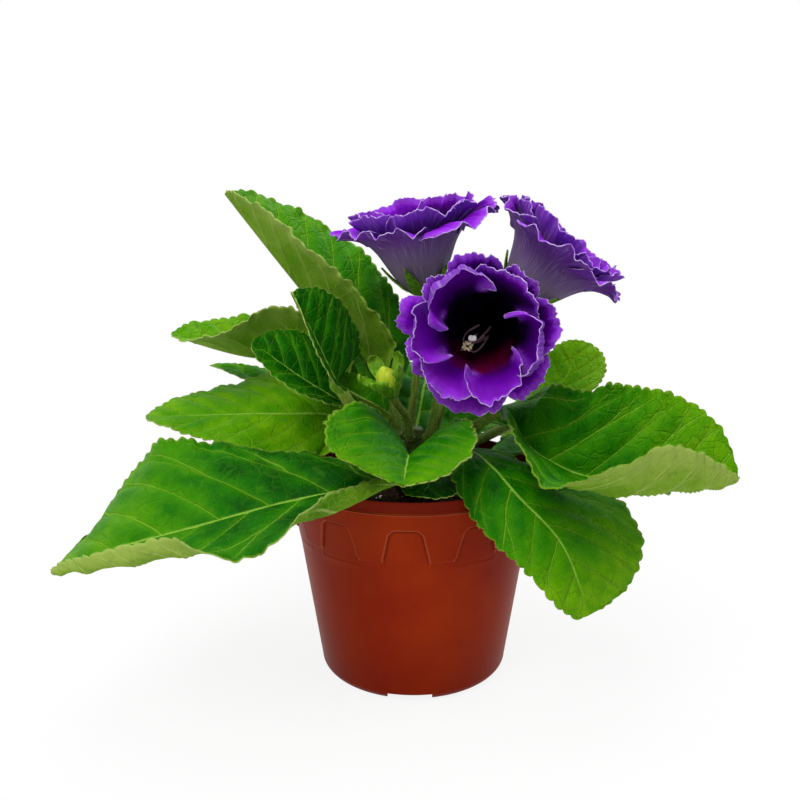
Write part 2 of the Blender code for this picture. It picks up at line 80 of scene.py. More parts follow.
# root     bearing and height at which the stalk leaves the crown
# rib      further points of the stalk and the midrib, out to the tip
# stalk    share of that line that is bare
# broad    where along the blade it is broadest, 0 base to 1 tip
# full     how full its outline is: 0.3 is blunt, 0.7 is pointed
# wide     half widths
# tint_and_light  0 deep green to 1 yellow green, at base and tip, partly the leaf's own colour and partly
# painted light: higher for backlit leaves; less than 0 is painted shade, darker still
# fold     slope of a half beside the midrib in degrees, at even steps from base to tip
# curl     degrees that its margin turns further, at even steps
# roll     shares of the half's width between which the curl comes on
# steady   share of the line, each way, over which the midrib's direction is averaged
# A pair in wide, broad or full is for the left and the right half.
LEAVES = {
    "leaf_front_left": dict(
        root=(247, 96), stalk=0.16, broad=(0.50, 0.75), full=(0.50, 0.30), wide=(38, 59), tint_and_light=(0.04, 0.80),
        rib=[(-10, -36, 107), (-26, -52, 107), (-56, -62, 103), (-90, -68, 95), (-124, -70, 86),
             (-150, -68, 76)],
        fold_left=(5, -4, -6, -8, -8, -6), fold_right=(30, 21, 29, 6), roll=(0.55, 0.90),
        curl_left=(150, 145, 130, 70, 0, 10, 85, 105, 115, 125, 150)),
    "leaf_left_low": dict(
        root=(186, 100), stalk=0.18, broad=(0.34, 0.44), full=(0.42, 0.50), wide=(31, 36), tint_and_light=(0.84, 0.80),
        rib=[(-35, 2, 124), (-64, 4, 126), (-96, 2, 126), (-126, -2, 126)],
        fold_left=(-62, -26, 0), fold_right=(38, 20, 10)),
    "leaf_left_mid": dict(
        root=(150, 106), stalk=0.22, broad=0.45, full=0.50, wide=(38, 32), tint_and_light=(0.60, 0.90),
        rib=[(-28, 26, 136), (-56, 36, 146), (-88, 36, 150), (-120, 32, 160)],
        fold_left=(45, 50, 0), fold_right=(30, 40, 30)),
    "leaf_left_small": dict(
        root=(208, 109), stalk=0.42, broad=0.50, full=0.48, wide=(11, 24), tint_and_light=(0.02, 0.12),
        rib=[(-28, -12, 131), (-51, -17, 148), (-71, -20, 164)],
        fold_left=(-10, -30, -36), fold_right=(40, 48, 38)),
    "leaf_upper_left": dict(
        root=(118, 112), stalk=0.20, broad=0.50, full=0.42, wide=(38, 41), tint_and_light=(0.35, 0.72),
        rib=[(-14, 20, 139), (-38, 24, 165), (-65, 28, 197), (-89, 30, 227)],
        fold_left=(55, 40, 25), fold_right=(62, 44, 25)),
    "leaf_upright": dict(
        root=(232, 113), stalk=0.50, broad=0.38, full=0.42, wide=(5, 27), tint_and_light=(0.04, 0.14),
        rib=[(-22, -20, 127), (-33, -29, 147), (-42, -33, 168), (-51, -34, 187)],
        fold_left=(-30, -30, 20), fold_right=(65, 52, 50)),
    "leaf_front": dict(
        root=(268, 105), stalk=0.20, broad=(0.52, 0.64), full=(0.36, 0.32), wide=(31, 38), tint_and_light=(0.26, 0.68),
        rib=[(-2, -44, 119), (-3, -62, 119), (-4, -84, 118)],
        fold_left=(54, 25, 10), fold_right=(66, 36, 20)),
    "leaf_under_front": dict(
        root=(280, 98), stalk=0.30, broad=0.62, full=0.42, wide=(15, 12), tint_and_light=(-0.10, 0.10),
        rib=[(6, -26, 103.6), (7, -42, 106), (3, -58, 105)],
        fold_left=(10, 0, -6), fold_right=(10, 0, -6)),
    "leaf_right": dict(
        root=(338, 107), stalk=0.27, broad=(0.58, 0.56), full=(0.30, 0.69), wide=(44, 51), tint_and_light=(0.30, 0.84),
        rib=[(28, -12, 123), (41, -17, 132), (52, -28, 118), (70, -40, 110), (98, -47, 106), (139, -48, 110)],
        fold_left=(37, 63, 74, 65, 68, 61), fold_right=(30, 17, 0, 7, -8), roll=(0.25, 0.74),
        curl_right=(0, 16, 13, 6, 40, 60, 70, 72, 58), steady=0.15),
    "leaf_front_right": dict(
        root=(312, 97), stalk=0.24, broad=(0.62, 0.48), full=(0.30, 0.38), wide=(50, 21), tint_and_light=(0.16, 0.90),
        rib=[(25, -34, 118), (33, -46, 115), (43, -59, 106), (61, -70, 88), (72, -76, 59)],
        fold_left=(-25, 4, 30), fold_right=(0, -26, -50, -46, -36)),
    "leaf_back_right": dict(
        root=(40, 101), stalk=0.50, broad=0.50, full=0.42, wide=(18, 23), tint_and_light=(0.80, 1.00),
        rib=[(33, 30, 106), (68, 49, 121), (84, 62, 137), (89, 72, 151)],
        fold_left=(20,), fold_right=(0,)),
    "leaf_right_small": dict(
        root=(2, 110), stalk=0.30, broad=0.50, full=0.45, wide=(14, 7), tint_and_light=(0.40, 0.60),
        rib=[(17, 0, 119), (31, -2, 124), (46, -5, 122)],
        fold_left=(35,), fold_right=(10,)),
    "leaf_inner": dict(
        root=(203, 117), stalk=0.30, broad=0.50, full=0.45, wide=(7, 11), tint_and_light=(0.40, 0.70),
        rib=[(-12, -8, 127), (-24, -13, 137), (-38, -17, 146)],
        fold_left=(10,), fold_right=(60,)),
    "leaf_back_left": dict(
        root=(158, 97), stalk=0.25, broad=0.45, full=0.50, wide=(16, 16), tint_and_light=(0.40, 0.60),
        rib=[(-34, 24, 112), (-62, 44, 124), (-88, 60, 133), (-110, 68, 138)],
        fold_left=(15,), fold_right=(15,)),
    "leaf_back_far_left": dict(
        root=(122, 100), stalk=0.22, broad=0.48, full=0.48, wide=(30, 30), tint_and_light=(0.30, 0.50),
        rib=[(-20, 36, 118), (-36, 66, 127), (-48, 96, 124), (-54, 122, 110)],
        fold_left=(20, 15, 5), fold_right=(20, 15, 5)),
    "leaf_back": dict(
        root=(88, 104), stalk=0.13, broad=0.44, full=0.44, wide=(32, 32), tint_and_light=(0.24, 0.50),
        rib=[(4, 34, 126), (8, 64, 136), (10, 96, 130), (10, 124, 112)],
        fold_left=(-62, -10, 10, 5), fold_right=(-62, -10, 10, 5)),
    "leaf_back_far_right": dict(
        root=(66, 97), stalk=0.22, broad=0.50, full=0.46, wide=(28, 28), tint_and_light=(0.30, 0.55),
        rib=[(18, 38, 104), (34, 68, 106), (46, 94, 100), (56, 116, 86)],
        fold_left=(15, 10, 0), fold_right=(15, 10, 0)),
    "leaf_right_back": dict(
        root=(8, 98), stalk=0.24, broad=0.50, full=0.46, wide=(28, 28), tint_and_light=(0.20, 0.50),
        rib=[(36, 4, 105), (66, 8, 107), (98, 8, 101), (126, 4, 87)],
        fold_left=(15, 10, 0), fold_right=(15, 10, 0)),
}

# ---- flowers ------------------------------------------------------------------------------------
# Radius and height of the whorls and the bud, from the tube's base up the flower's axis.
COROLLA = [(0.05, 0.3), (3.8, 0.4), (7.8, 3.2), (11.6, 8.0), (15.2, 15.0), (18.8, 22.0), (24.0, 28.0),
           (30.0, 31.5), (35.5, 33.0)]
INNER_COROLLA = [(14.4, 17.5), (16.4, 23.0), (20.0, 29.5), (24.5, 34.0), (28.5, 36.5)]
BUD_PROFILE = [(1.8, 0.0), (4.0, 3.0), (4.7, 6.5), (3.9, 9.8), (2.0, 12.4), (0.4, 13.8)]
PAINTED_SHADE_SIDE = 62              # bearing about a flower's axis at which the painted shade climbs highest up the lobes from the throat

# at, axis   where the tube's base is, and where the flower looks
# turn       degrees about that axis
# frill      height of the waves of the petals' edge
# root       bearing and height at which the stalk leaves the crown, and via its further points
# A lobe of the outer or inner whorl is its bearing about the axis, half its width in degrees, its reach
# as a share of the profile's length, its curl in degrees towards the throat, and the lift of its
# clockwise and of its other side edge in millimetres.
FLOWERS = {
    "front": dict(
        at=(32, -9, 169), axis=(-0.14, -0.98, 0.05), turn=0, frill=1.1,
        root=(322, 116), via=[(12, -3, 138), (28, 4, 158)],
        outer=[(98, 27, 0.95, -4, -1.0, 1.2), (56, 19, 0.91, -2, -1.2, 0.8),
               (4, 24, 0.95, 5, -1.0, 1.2), (-38, 26, 0.95, -10, 0.8, -1.2),
               (-99, 33, 0.97, -15, -0.8, 1.2), (-160, 20, 0.93, 0, -1.2, 1.0),
               (165, 18, 1.00, 5, -1.2, 1.0), (136, 19, 0.90, 5, -1.2, 1.0)],
        inner=[(126, 38, 1.42, 122, 4.0, 10.5), (56, 32, 1.02, 34, -2.2, -2.2),
               (-2, 29, 1.34, 108, -1.8, 10.0), (-66, 36, 1.16, 58, 8.5, 8.0),
               (-126, 28, 1.06, 24, -2.0, -1.6), (184, 30, 1.26, 84, -1.6, 8.5)]),
    "left": dict(
        at=(5, 8, 183), axis=(-0.17, -0.10, 0.98), turn=20, frill=1.8,
        root=(100, 116), via=[(1, 9, 140), (4, 10, 165)],
        outer=[(-14, 27, 1.18, -12, -1.4, 1.6), (36, 26, 1.06, 8, -1.6, 1.4),
               (90, 28, 0.96, 0, -1.4, 1.8), (146, 27, 1.13, -72, -1.8, 1.4),
               (196, 25, 1.06, -34, -1.4, 1.6), (246, 26, 0.98, 12, -1.6, 1.6),
               (296, 25, 1.00, 4, -1.4, 1.4)],
        inner=[(20, 31, 1.10, 30, -1.8, 2.0), (82, 31, 1.02, 45, 1.8, 2.0),
               (142, 30, 1.08, 35, -2.0, -1.8), (202, 30, 1.02, 50, -1.6, 2.2),
               (262, 31, 1.06, 40, -1.8, 2.0), (320, 30, 1.12, 24, -2.0, -1.8)]),
    "right": dict(
        at=(46, 1, 179), axis=(0.62, -0.12, 0.77), turn=10, frill=1.8,
        root=(20, 116), via=[(18, 10, 138), (37, 10, 160)],
        outer=[(10, 27, 1.12, -62, -1.4, 1.6), (62, 25, 0.98, 8, -1.4, 1.4),
               (113, 26, 1.02, 0, -1.6, 1.4), (166, 28, 1.22, -6, -1.4, 1.8),
               (217, 26, 1.02, 10, -1.6, 1.4), (268, 27, 0.98, -8, -1.4, 1.8),
               (319, 25, 0.98, 12, -1.6, 1.4)],
        inner=[(30, 31, 1.04, 40, -1.8, 2.0), (92, 31, 1.00, 30, -1.8, -1.8),
               (152, 30, 1.12, 45, 1.8, 2.0), (212, 30, 1.02, 25, -2.0, 2.2),
               (272, 30, 1.08, 50, -1.8, 2.0), (332, 30, 1.04, 30, -2.0, 1.8)]),
}
BUD = dict(
    at=(-10, -24, 143), axis=(-0.25, -0.45, 0.86),
    root=(258, 117), via=[(-3, -11, 127), (-8, -20, 137)])


# ---- materials ----------------------------------------------------------------------------------
def screen(*levels):
    """A colour given as it looks on a screen: red, green and blue from 0 to 255."""
    linear = [((c / 255 + 0.055) / 1.055) ** 2.4 if c > 10 else c / 255 / 12.92 for c in levels]
    return (*linear, 1.0)


class Value:
    """One output of a material's nodes. Arithmetic on it adds Math nodes."""

    def __init__(self, finish, socket):
        self.finish = finish
        self.socket = socket

    def math(self, operation, *others):
        return self.finish.add("ShaderNodeMath", {"operation": operation}, dict(enumerate((self, *others))))

    def reflected(self, operation, other):
        return self.finish.add("ShaderNodeMath", {"operation": operation}, {0: other, 1: self})

    def __add__(self, other):
        return self.math("ADD", other)

    def __radd__(self, other):
        return self.reflected("ADD", other)

    def __sub__(self, other):
        return self.math("SUBTRACT", other)

    def __rsub__(self, other):
        return self.reflected("SUBTRACT", other)

    def __mul__(self, other):
        return self.math("MULTIPLY", other)

    def __rmul__(self, other):
        return self.reflected("MULTIPLY", other)

    def __pow__(self, other):
        return self.math("POWER", other)

    def __mod__(self, other):
        return self.math("FLOORED_MODULO", other)

    def __abs__(self):
        return self.math("ABSOLUTE")

    def at_least(self, other):
        """The larger of two values."""
        return self.math("MAXIMUM", other)

    def eased(self, low, high, at_low, at_high):
        return self.finish.add("ShaderNodeMapRange", {"interpolation_type": "SMOOTHSTEP"},
                               {"Value": self, "From Min": low, "From Max": high,
                                "To Min": at_low, "To Max": at_high})

    def above(self, low, high):
        """0 up to low, 1 from high on, smooth between."""
        return self.eased(low, high, 0.0, 1.0)

    def below(self, low, high):
        """1 up to low, 0 from high on, smooth between."""
        return self.eased(low, high, 1.0, 0.0)


class Finish:
    """A material in the making, or the world's own shader."""

    def __init__(self, name, world=None):
        self.material = world or bpy.data.materials.new(name)
        self.material.use_nodes = True
        self.tree = self.material.node_tree
        self.tree.nodes.clear()

    def add(self, kind, settings=None, sockets=None, out=0):
        """A node with its settings, and the values or links of its sockets; gives its output out."""
        node = self.tree.nodes.new(kind)
        for key, value in (settings or {}).items():
            if key == "stops":
                self.set_stops(node.color_ramp.elements, value)
            else:
                setattr(node, key, value)
        for key, value in (sockets or {}).items():
            if isinstance(value, Value):
                self.tree.links.new(value.socket, node.inputs[key])
            else:
                node.inputs[key].default_value = value
        return Value(self, node.outputs[out])

    def set_stops(self, elements, stops):
        while len(elements) < len(stops):
            elements.new(0.5)
        for element, (place, colour) in zip(elements, stops):
            element.position = place
            element.color = colour

    def here(self):
        """The point on the piece, in metres."""
        return self.add("ShaderNodeTexCoord", out="Object")

    def flat(self):
        """The point on the sheet laid flat."""
        return self.add("ShaderNodeUVMap", {"uv_map": "flat"})

    def attribute(self, name, out="Fac"):
        return self.add("ShaderNodeAttribute", {"attribute_name": name}, out=out)

    def parts(self, vector):
        """A vector's three numbers."""
        node = self.add("ShaderNodeSeparateXYZ", None, {0: vector}).socket.node
        return [Value(self, socket) for socket in node.outputs]

    def stretched(self, vector, scale):
        return self.add("ShaderNodeMapping", None, {"Vector": vector, "Scale": scale})

    def noise(self, vector, scale, detail=3.0, roughness=0.55):
        return self.add("ShaderNodeTexNoise", None,
                        {"Vector": vector, "Scale": scale, "Detail": detail, "Roughness": roughness})

    def cells(self, vector, scale, feature="DISTANCE_TO_EDGE"):
        return self.add("ShaderNodeTexVoronoi", {"feature": feature}, {"Vector": vector, "Scale": scale})

    def mix(self, base, over, share):
        """Colour base with colour over on its share of the surface."""
        return self.add("ShaderNodeMix", {"data_type": "RGBA"}, {0: share, 6: base, 7: over}, 2)

    def ramp(self, share, stops):
        return self.add("ShaderNodeValToRGB", {"stops": stops}, {0: share})

    def bump(self, height, strength, depth):
        """Relief that is depth millimetres deep."""
        return self.add("ShaderNodeBump", None,
                        {"Height": height, "Strength": strength, "Distance": depth * MM})

    def surface(self, colour, roughness, normal, shine, see_through=0.0, glow=None, **fixed):
        """Principled surface. The share see_through of the light shines on through it, coloured glow."""
        sockets = {"Base Color": colour, "Roughness": roughness, "Normal": normal,
                   "Specular IOR Level": shine}
        sockets.update({key.replace("_", " "): value for key, value in fixed.items()})
        shader = self.add("ShaderNodeBsdfPrincipled", None, sockets)
        if see_through:
            through = self.add("ShaderNodeBsdfTranslucent", None, {"Color": glow})
            shader = self.add("ShaderNodeMixShader", None, {0: see_through, 1: shader, 2: through})
        self.add_output(shader)
        return self.material

    def background_rays(self):
        """1 for the rays that see the backdrop itself: the camera's, and those off metal or through glass."""
        camera, glossy, through = (self.add("ShaderNodeLightPath", out=f"Is {kind} Ray")
                                   for kind in ("Camera", "Glossy", "Transmission"))
        return camera.at_least(glossy).at_least(through)

    def add_output(self, shader, kind="ShaderNodeOutputMaterial"):
        end = self.tree.nodes.new(kind)
        self.tree.links.new(shader.socket, end.inputs["Surface"])


def leaf_marks(skin):
    """What both skins of a leaf show: a midrib, side veins that fork towards the margin, a fine net."""
    m = SimpleNamespace(flat=skin.flat())
    m.along, side, m.tint_and_light = skin.parts(skin.attribute("place", "Vector"))
    m.across = abs(side)                                    # 0 on the midrib, 1 at the margin
    vein = skin.attribute("vein")                           # whole numbers lie on the side veins
    wobble = skin.noise(m.flat, 9.0, 2.0) - 0.5
    right_half = side.math("GREATER_THAN", 0.0)
    cell = (vein + right_half * 0.45 + wobble * 0.10 + 0.5) % 1.0 - 0.5
    m.fork = abs(abs(cell) - m.across.above(0.45, 1.05) * 0.24)     # 0 on a vein, 0.5 midway between two
    fade = m.across.below(0.80, 1.02) * vein.above(-0.8, -0.4)
    m.side_vein = m.fork.below(0.006, 0.034) * fade
    m.soft_vein = m.fork.below(0.0, 0.30) * fade
    m.loop = abs(m.across - 0.80 + abs(cell) * 0.22 + wobble * 0.10).below(0.004, 0.022)
    m.rib = (m.across * (m.along * 1.2 + 0.8)).below(0.010, 0.034) * m.along.below(0.80, 1.02)
    m.net = skin.cells(m.flat, 15.0).below(0.0, 0.07)
    m.fine_net = skin.cells(m.flat, 42.0).below(0.0, 0.14)
    m.mottle = skin.noise(m.flat, 4.5, 4.0)
    m.grain = skin.noise(skin.here(), 900.0, 2.0)
    m.rim = m.across.above(0.965, 0.998)
    return m


def leaf_upper_skin():
    """Velvety green, lighter on the veins, with painted shade between them and painted glints; leaves and
    tips are yellower where tint_and_light says so, partly their own colour and partly painted light.
    """
    skin = Finish("leaf_upper_skin")
    m = leaf_marks(skin)
    patches = (m.mottle - 0.5) * 0.95 + (skin.noise(m.flat, 14.0, 3.0) - 0.5) * 0.45
    # (0.15 - fork) darkens the skin midway between the side veins: painted shade of the quilting
    shade = m.tint_and_light + patches + (0.15 - m.fork) * 0.34
    colour = skin.ramp(shade, [
        (0.0, screen(0, 72, 0)), (0.25, screen(22, 106, 0)), (0.55, screen(58, 133, 0)),
        (0.80, screen(86, 151, 0)), (1.0, screen(114, 170, 8))])
    colour = skin.mix(colour, screen(84, 156, 14), m.soft_vein ** 2.0 * 0.20)
    colour = skin.mix(colour, screen(96, 160, 30), m.net * 0.14 + m.fine_net * 0.07 + m.loop * 0.16)
    colour = skin.mix(colour, screen(128, 182, 46), m.side_vein * (m.tint_and_light * 0.36 + 0.46))
    colour = skin.mix(colour, screen(146, 196, 66), m.rib * 0.80)
    colour = skin.mix(colour, screen(128, 170, 20), m.rim * 0.70)
    # pale specks: painted glints of the velvety skin
    colour = skin.mix(colour, screen(160, 200, 110), m.grain.above(0.68, 0.82) * 0.16)
    roughness = skin.noise(m.flat, 22.0) * 0.16 + 0.36
    quilt = skin.noise(m.flat, 30.0, 3.0) * 0.8 + m.grain * 0.20
    sunk = m.net * 0.40 + m.fine_net * 0.16 + m.side_vein * 0.6 + m.rib * 0.5 + m.loop * 0.3
    normal = skin.bump(quilt - sunk, 0.85, 0.8)
    return skin.surface(colour, roughness, normal, shine=0.04, see_through=0.14, glow=screen(96, 170, 6))


def leaf_under_skin():
    """Paler and duller than the upper skin, with raised veins; its pale yellow green, palest near the margin
    towards the tip, is partly painted backlight.
    """
    skin = Finish("leaf_under_skin")
    m = leaf_marks(skin)
    shade = m.tint_and_light * 0.5 + m.mottle.above(0.25, 0.8) * 0.5
    # paler near the margin towards the tip: partly painted light on the curled, backlit margins
    near_margin = m.across.above(0.60, 1.0) * m.along.above(0.25, 0.7)
    colour = skin.ramp(shade, [
        (0.0, screen(62, 124, 2)), (0.45, screen(112, 158, 22)), (1.0, screen(158, 188, 70))])
    colour = skin.mix(colour, screen(168, 190, 92), near_margin * 0.75)
    colour = skin.mix(colour, screen(182, 202, 110), (m.rib * 0.8).at_least(m.side_vein * 0.70))
    colour = skin.mix(colour, screen(186, 204, 112), m.net * 0.12 + m.fine_net * 0.14)
    colour = skin.mix(colour, screen(86, 124, 30), skin.noise(m.flat, 26.0, 3.0).above(0.5, 0.75) * 0.35)
    colour = skin.mix(colour, screen(178, 198, 104), m.rim * 0.45)
    height = m.rib * 0.6 + m.side_vein * 0.6 + m.net * 0.25 + m.fine_net * 0.1 + m.grain * 0.15
    normal = skin.bump(height, 0.5, 0.6)
    return skin.surface(colour, 0.70, normal, shine=0.04, see_through=0.18, glow=screen(110, 160, 10))


def stalk_skin(name, pale, deep, blush):
    """Fleshy, with fine upright streaks, and darker low down in the plant as painted shade under the leaves.
    """
    skin = Finish(name)
    here = skin.here()
    streak = skin.noise(skin.stretched(here, (700, 700, 120)), 1.0, 3.0)
    patch = skin.noise(here, 60.0, 2.0)
    low = skin.parts(here)[2].below(108 * MM, 142 * MM)
    colour = skin.mix(deep, pale, streak.above(0.3, 0.7))
    colour = skin.mix(colour, blush, patch.above(0.45, 0.75) * 0.5)
    # painted shade: darker low down in the plant, under the leaves
    colour = skin.mix(colour, screen(34, 62, 8), low * 0.72)
    height = streak * 0.4 + skin.noise(here, 1500.0, 2.0) * 0.6
    return skin.surface(colour, 0.55, skin.bump(height, 0.4, 0.4), shine=0.12)


def petal_marks(skin):
    """What both sides of a petal show: streaks up the tube and a pale, broken line along the free edge."""
    m = SimpleNamespace(flat=skin.flat())
    m.edge = skin.attribute("edge")                         # millimetres to the free edge
    m.deep = skin.attribute("deep")                         # 0 at the tube's base, 1 at the edge
    m.wobble = skin.noise(m.flat, 60.0, 3.0) - 0.5
    m.streak = skin.noise(skin.stretched(m.flat, (150, 8, 1)), 1.0, 4.0)
    broken = skin.noise(m.flat, 48.0, 2.0).above(0.36, 0.60) * 0.75 + 0.25
    m.line = (m.edge + m.wobble * 0.9).below(0.03, 0.40) * broken
    return m


def petal_face():
    """Velvet violet, black in the throat (partly its own colour, partly painted shade in the tube), with
    painted shade climbing the upper lobes and a mealy halo inside the pale edge.
    """
    skin = Finish("petal_face")
    m = petal_marks(skin)
    patch = skin.noise(m.flat, 7.0, 3.0)
    mealy = skin.noise(m.flat, 130.0, 2.0) - 0.5
    halo = (m.edge + m.wobble * 3.0 + mealy * 5.0).below(0.0, 4.2)
    near_edge = (m.edge + m.wobble * 2.0).below(0.0, 6.5)
    dusk = skin.attribute("dusk")                           # painted shade that climbs the lobe from the throat, most towards PAINTED_SHADE_SIDE
    rise = m.deep - dusk * 0.28 + (patch - 0.5) * 0.24 + near_edge * 0.26
    light_streak = m.streak.above(0.52, 0.85) * rise.above(0.60, 0.85)
    # black deep in the throat: partly the throat's own colour, partly painted shade inside the tube
    colour = skin.ramp(rise, [
        (0.0, screen(3, 0, 3)), (0.34, screen(5, 0, 9)), (0.50, screen(20, 0, 32)),
        (0.65, screen(66, 0, 106)), (0.84, screen(108, 4, 170)), (1.0, screen(142, 34, 206))])
    colour = skin.mix(colour, screen(62, 0, 104), patch.above(0.42, 0.8) * m.deep.above(0.5, 0.7) * 0.55)
    colour = skin.mix(colour, screen(150, 40, 214), light_streak * 0.30)
    colour = skin.mix(colour, screen(96, 0, 44), skin.attribute("blush") * patch.above(0.2, 0.7))
    colour = skin.mix(colour, screen(156, 78, 216), halo * rise.above(0.35, 0.75) * 0.75)
    colour = skin.mix(colour, screen(220, 198, 240), m.line * 0.85)
    height = m.streak * 0.7 + skin.noise(skin.here(), 1300.0, 2.0) * 0.4
    normal = skin.bump(height, 0.35, 0.5)
    return skin.surface(colour, 0.60, normal, shine=0.03, see_through=0.05, glow=screen(130, 0, 200))


def petal_back():
    """Greyer than the face, and streaked down the tube; its pale streaks are partly painted highlights."""
    skin = Finish("petal_back")
    m = petal_marks(skin)
    colour = skin.ramp(m.deep, [
        (0.0, screen(128, 132, 92)), (0.14, screen(134, 124, 132)), (0.45, screen(142, 122, 158)),
        (0.66, screen(128, 88, 162)), (0.82, screen(120, 56, 170)), (1.0, screen(132, 60, 192))])
    colour = skin.mix(colour, screen(78, 58, 92), m.streak.above(0.48, 0.78) * 0.55)
    # pale streaks: partly painted highlights along the tube
    colour = skin.mix(colour, screen(190, 178, 198), m.streak.below(0.26, 0.48) * 0.52)
    colour = skin.mix(colour, screen(206, 188, 226), m.line * 0.6)
    height = m.streak * 0.8 + skin.noise(skin.here(), 1400.0, 2.0) * 0.3
    normal = skin.bump(height, 0.35, 0.5)
    return skin.surface(colour, 0.6, normal, shine=0.08, see_through=0.10, glow=screen(140, 70, 190))


def pot_plastic():
    """Satin brown plastic: cloudy pigment, scuffs, specks, painted shade towards the bottom and on the lip, a
    painted highlight along the ledge's edge, and painted shadow and highlight lines round each niche.
    """
    skin = Finish("pot_plastic")
    here = skin.here()
    height = skin.parts(here)[2]
    beside = skin.attribute("niche")            # millimetres from a niche's edge, less than 0 inside it
    cloud = skin.noise(here, 22.0, 4.0)
    fine = skin.noise(here, 420.0, 3.0)
    scuff = skin.noise(skin.stretched(here, (60, 60, 900)), 1.0, 3.0).above(0.66, 0.78)
    speck = skin.cells(here, 330.0, "F1").below(0.05, 0.12) * skin.noise(here, 70.0).above(0.56, 0.7)
    colour = skin.mix(screen(132, 27, 0), screen(147, 42, 0), cloud.above(0.3, 0.75))
    # darker towards the bottom: painted shade
    colour = skin.mix(colour, screen(110, 20, 0), height.below(0.0, 50 * MM) * 0.45)
    colour = skin.mix(colour, screen(160, 78, 46), scuff * 0.10 + fine.above(0.64, 0.82) * 0.08)
    # painted shadow inside each niche's edge (groove) and a painted highlight on its bead
    groove = beside.above(-1.2, -0.5) * beside.below(-0.2, 0.15)
    bead = beside.above(-0.1, 0.25) * beside.below(0.4, 1.0)
    colour = skin.mix(colour, screen(84, 12, 0), groove * 0.45)
    colour = skin.mix(colour, screen(176, 88, 54), bead * 0.50)
    # lip: painted shade where the leaves above shade the lip
    lip = height.above((LEDGE_AT + 0.2) * MM, (LEDGE_AT + 1.0) * MM)
    ledge = height.above((LEDGE_AT - 0.6) * MM, (LEDGE_AT - 0.2) * MM)
    # painted highlight along the ledge's lower edge
    painted_ledge_highlight = ledge * height.below((LEDGE_AT + 0.1) * MM, (LEDGE_AT + 0.5) * MM)
    colour = skin.mix(colour, screen(96, 8, 0), lip * 0.6)
    colour = skin.mix(colour, screen(178, 84, 52), painted_ledge_highlight * 0.6)
    colour = skin.mix(colour, screen(66, 14, 2), speck * 0.4)
    roughness = 0.34 + cloud * 0.10 + scuff * 0.10 + fine * 0.06
    normal = skin.bump(fine * 0.5 + cloud * 0.5, 0.18, 0.4)
    return skin.surface(colour, roughness, normal, shine=0.06,
                        Sheen_Weight=0.10, Sheen_Roughness=0.35, Sheen_Tint=screen(255, 170, 140))


def moist_mix():
    """Dark crumbly peat with paler fibres."""
    skin = Finish("potting_mix")
    here = skin.here()
    lump = skin.noise(here, 240.0, 5.0, 0.65)
    fibre = skin.noise(skin.stretched(here, (1800, 300, 700)), 1.0, 3.0)
    colour = skin.ramp(lump, [
        (0.3, screen(18, 13, 10)), (0.5, screen(44, 32, 24)), (0.72, screen(86, 66, 48))])
    colour = skin.mix(colour, screen(112, 88, 60), fibre.above(0.68, 0.8) * 0.5)
    return skin.surface(colour, 0.92, skin.bump(lump, 0.8, 1.5), shine=0.05)


def grainy(name, base, pale, roughness):
    """Two close colours in fine grains."""
    skin = Finish(name)
    rough = skin.noise(skin.here(), 700.0, 4.0, 0.65)
    colour = skin.mix(base, pale, rough.above(0.35, 0.7))
    return skin.surface(colour, roughness, skin.bump(rough, 0.6, 0.6), shine=0.1)


finishes = {
    "leaf": leaf_upper_skin(),
    "leaf_under": leaf_under_skin(),
    "leaf_stalk": stalk_skin("leaf_stalk_skin", screen(150, 176, 74), screen(96, 138, 34),
                             screen(122, 132, 50)),
    "petal": petal_face(),
    "petal_out": petal_back(),
    "pot": pot_plastic(),
    "soil": moist_mix(),
    "crumb": grainy("bark_crumb", screen(26, 18, 13), screen(84, 62, 44), 0.85),
    "perlite": grainy("perlite_grain", screen(196, 192, 182), screen(232, 230, 224), 0.7),
    "crown": stalk_skin("crown_skin", screen(92, 112, 44), screen(48, 66, 22), screen(72, 58, 30)),
    "stalk": stalk_skin("flower_stalk_skin", screen(126, 152, 52), screen(74, 110, 22), screen(104, 96, 40)),
    "sepal": stalk_skin("sepal_skin", screen(124, 172, 34), screen(58, 122, 8), screen(104, 140, 24)),
    "bud": stalk_skin("bud_skin", screen(212, 220, 72), screen(160, 192, 30), screen(180, 204, 50)),
    "filament": grainy("filament_skin", screen(128, 92, 104), screen(178, 142, 146), 0.5),
    "anther": grainy("anther_skin", screen(196, 176, 128), screen(232, 222, 188), 0.7),
    "hair": grainy("soft_hair", screen(168, 190, 100), screen(206, 218, 150), 0.6),
    "stigma": grainy("stigma_skin", screen(214, 206, 206), screen(242, 238, 236), 0.4),
}


# ---- shape tools --------------------------------------------------------------------------------
MERGE = 2e-6                        # metres between points that count as one
RIPPLE_HEIGHT = sin(1.0) / 1.6      # keeps three waves together just within 1 either way


def pair(value):
    return value if isinstance(value, tuple) else (value, value)


def smooth(x, low, high):
    """0 up to low, 1 from high on, smooth between."""
    t = np.clip((x - low) / (high - low), 0, 1)
    return t * t * (3 - 2 * t)


def running_total(steps):
    return np.concatenate([[0], np.cumsum(steps)])


def around(count):
    """Even angles round a full turn."""
    return 2 * pi * np.arange(count) / count


def ring(radius, z, turn):
    """Points about the Z axis at the angles turn, along which radius and z may change."""
    return np.stack([radius * np.cos(turn), radius * np.sin(turn), z + 0 * turn], -1)


def unit(vectors):
    return vectors / np.linalg.norm(vectors, axis=1)[:, None]


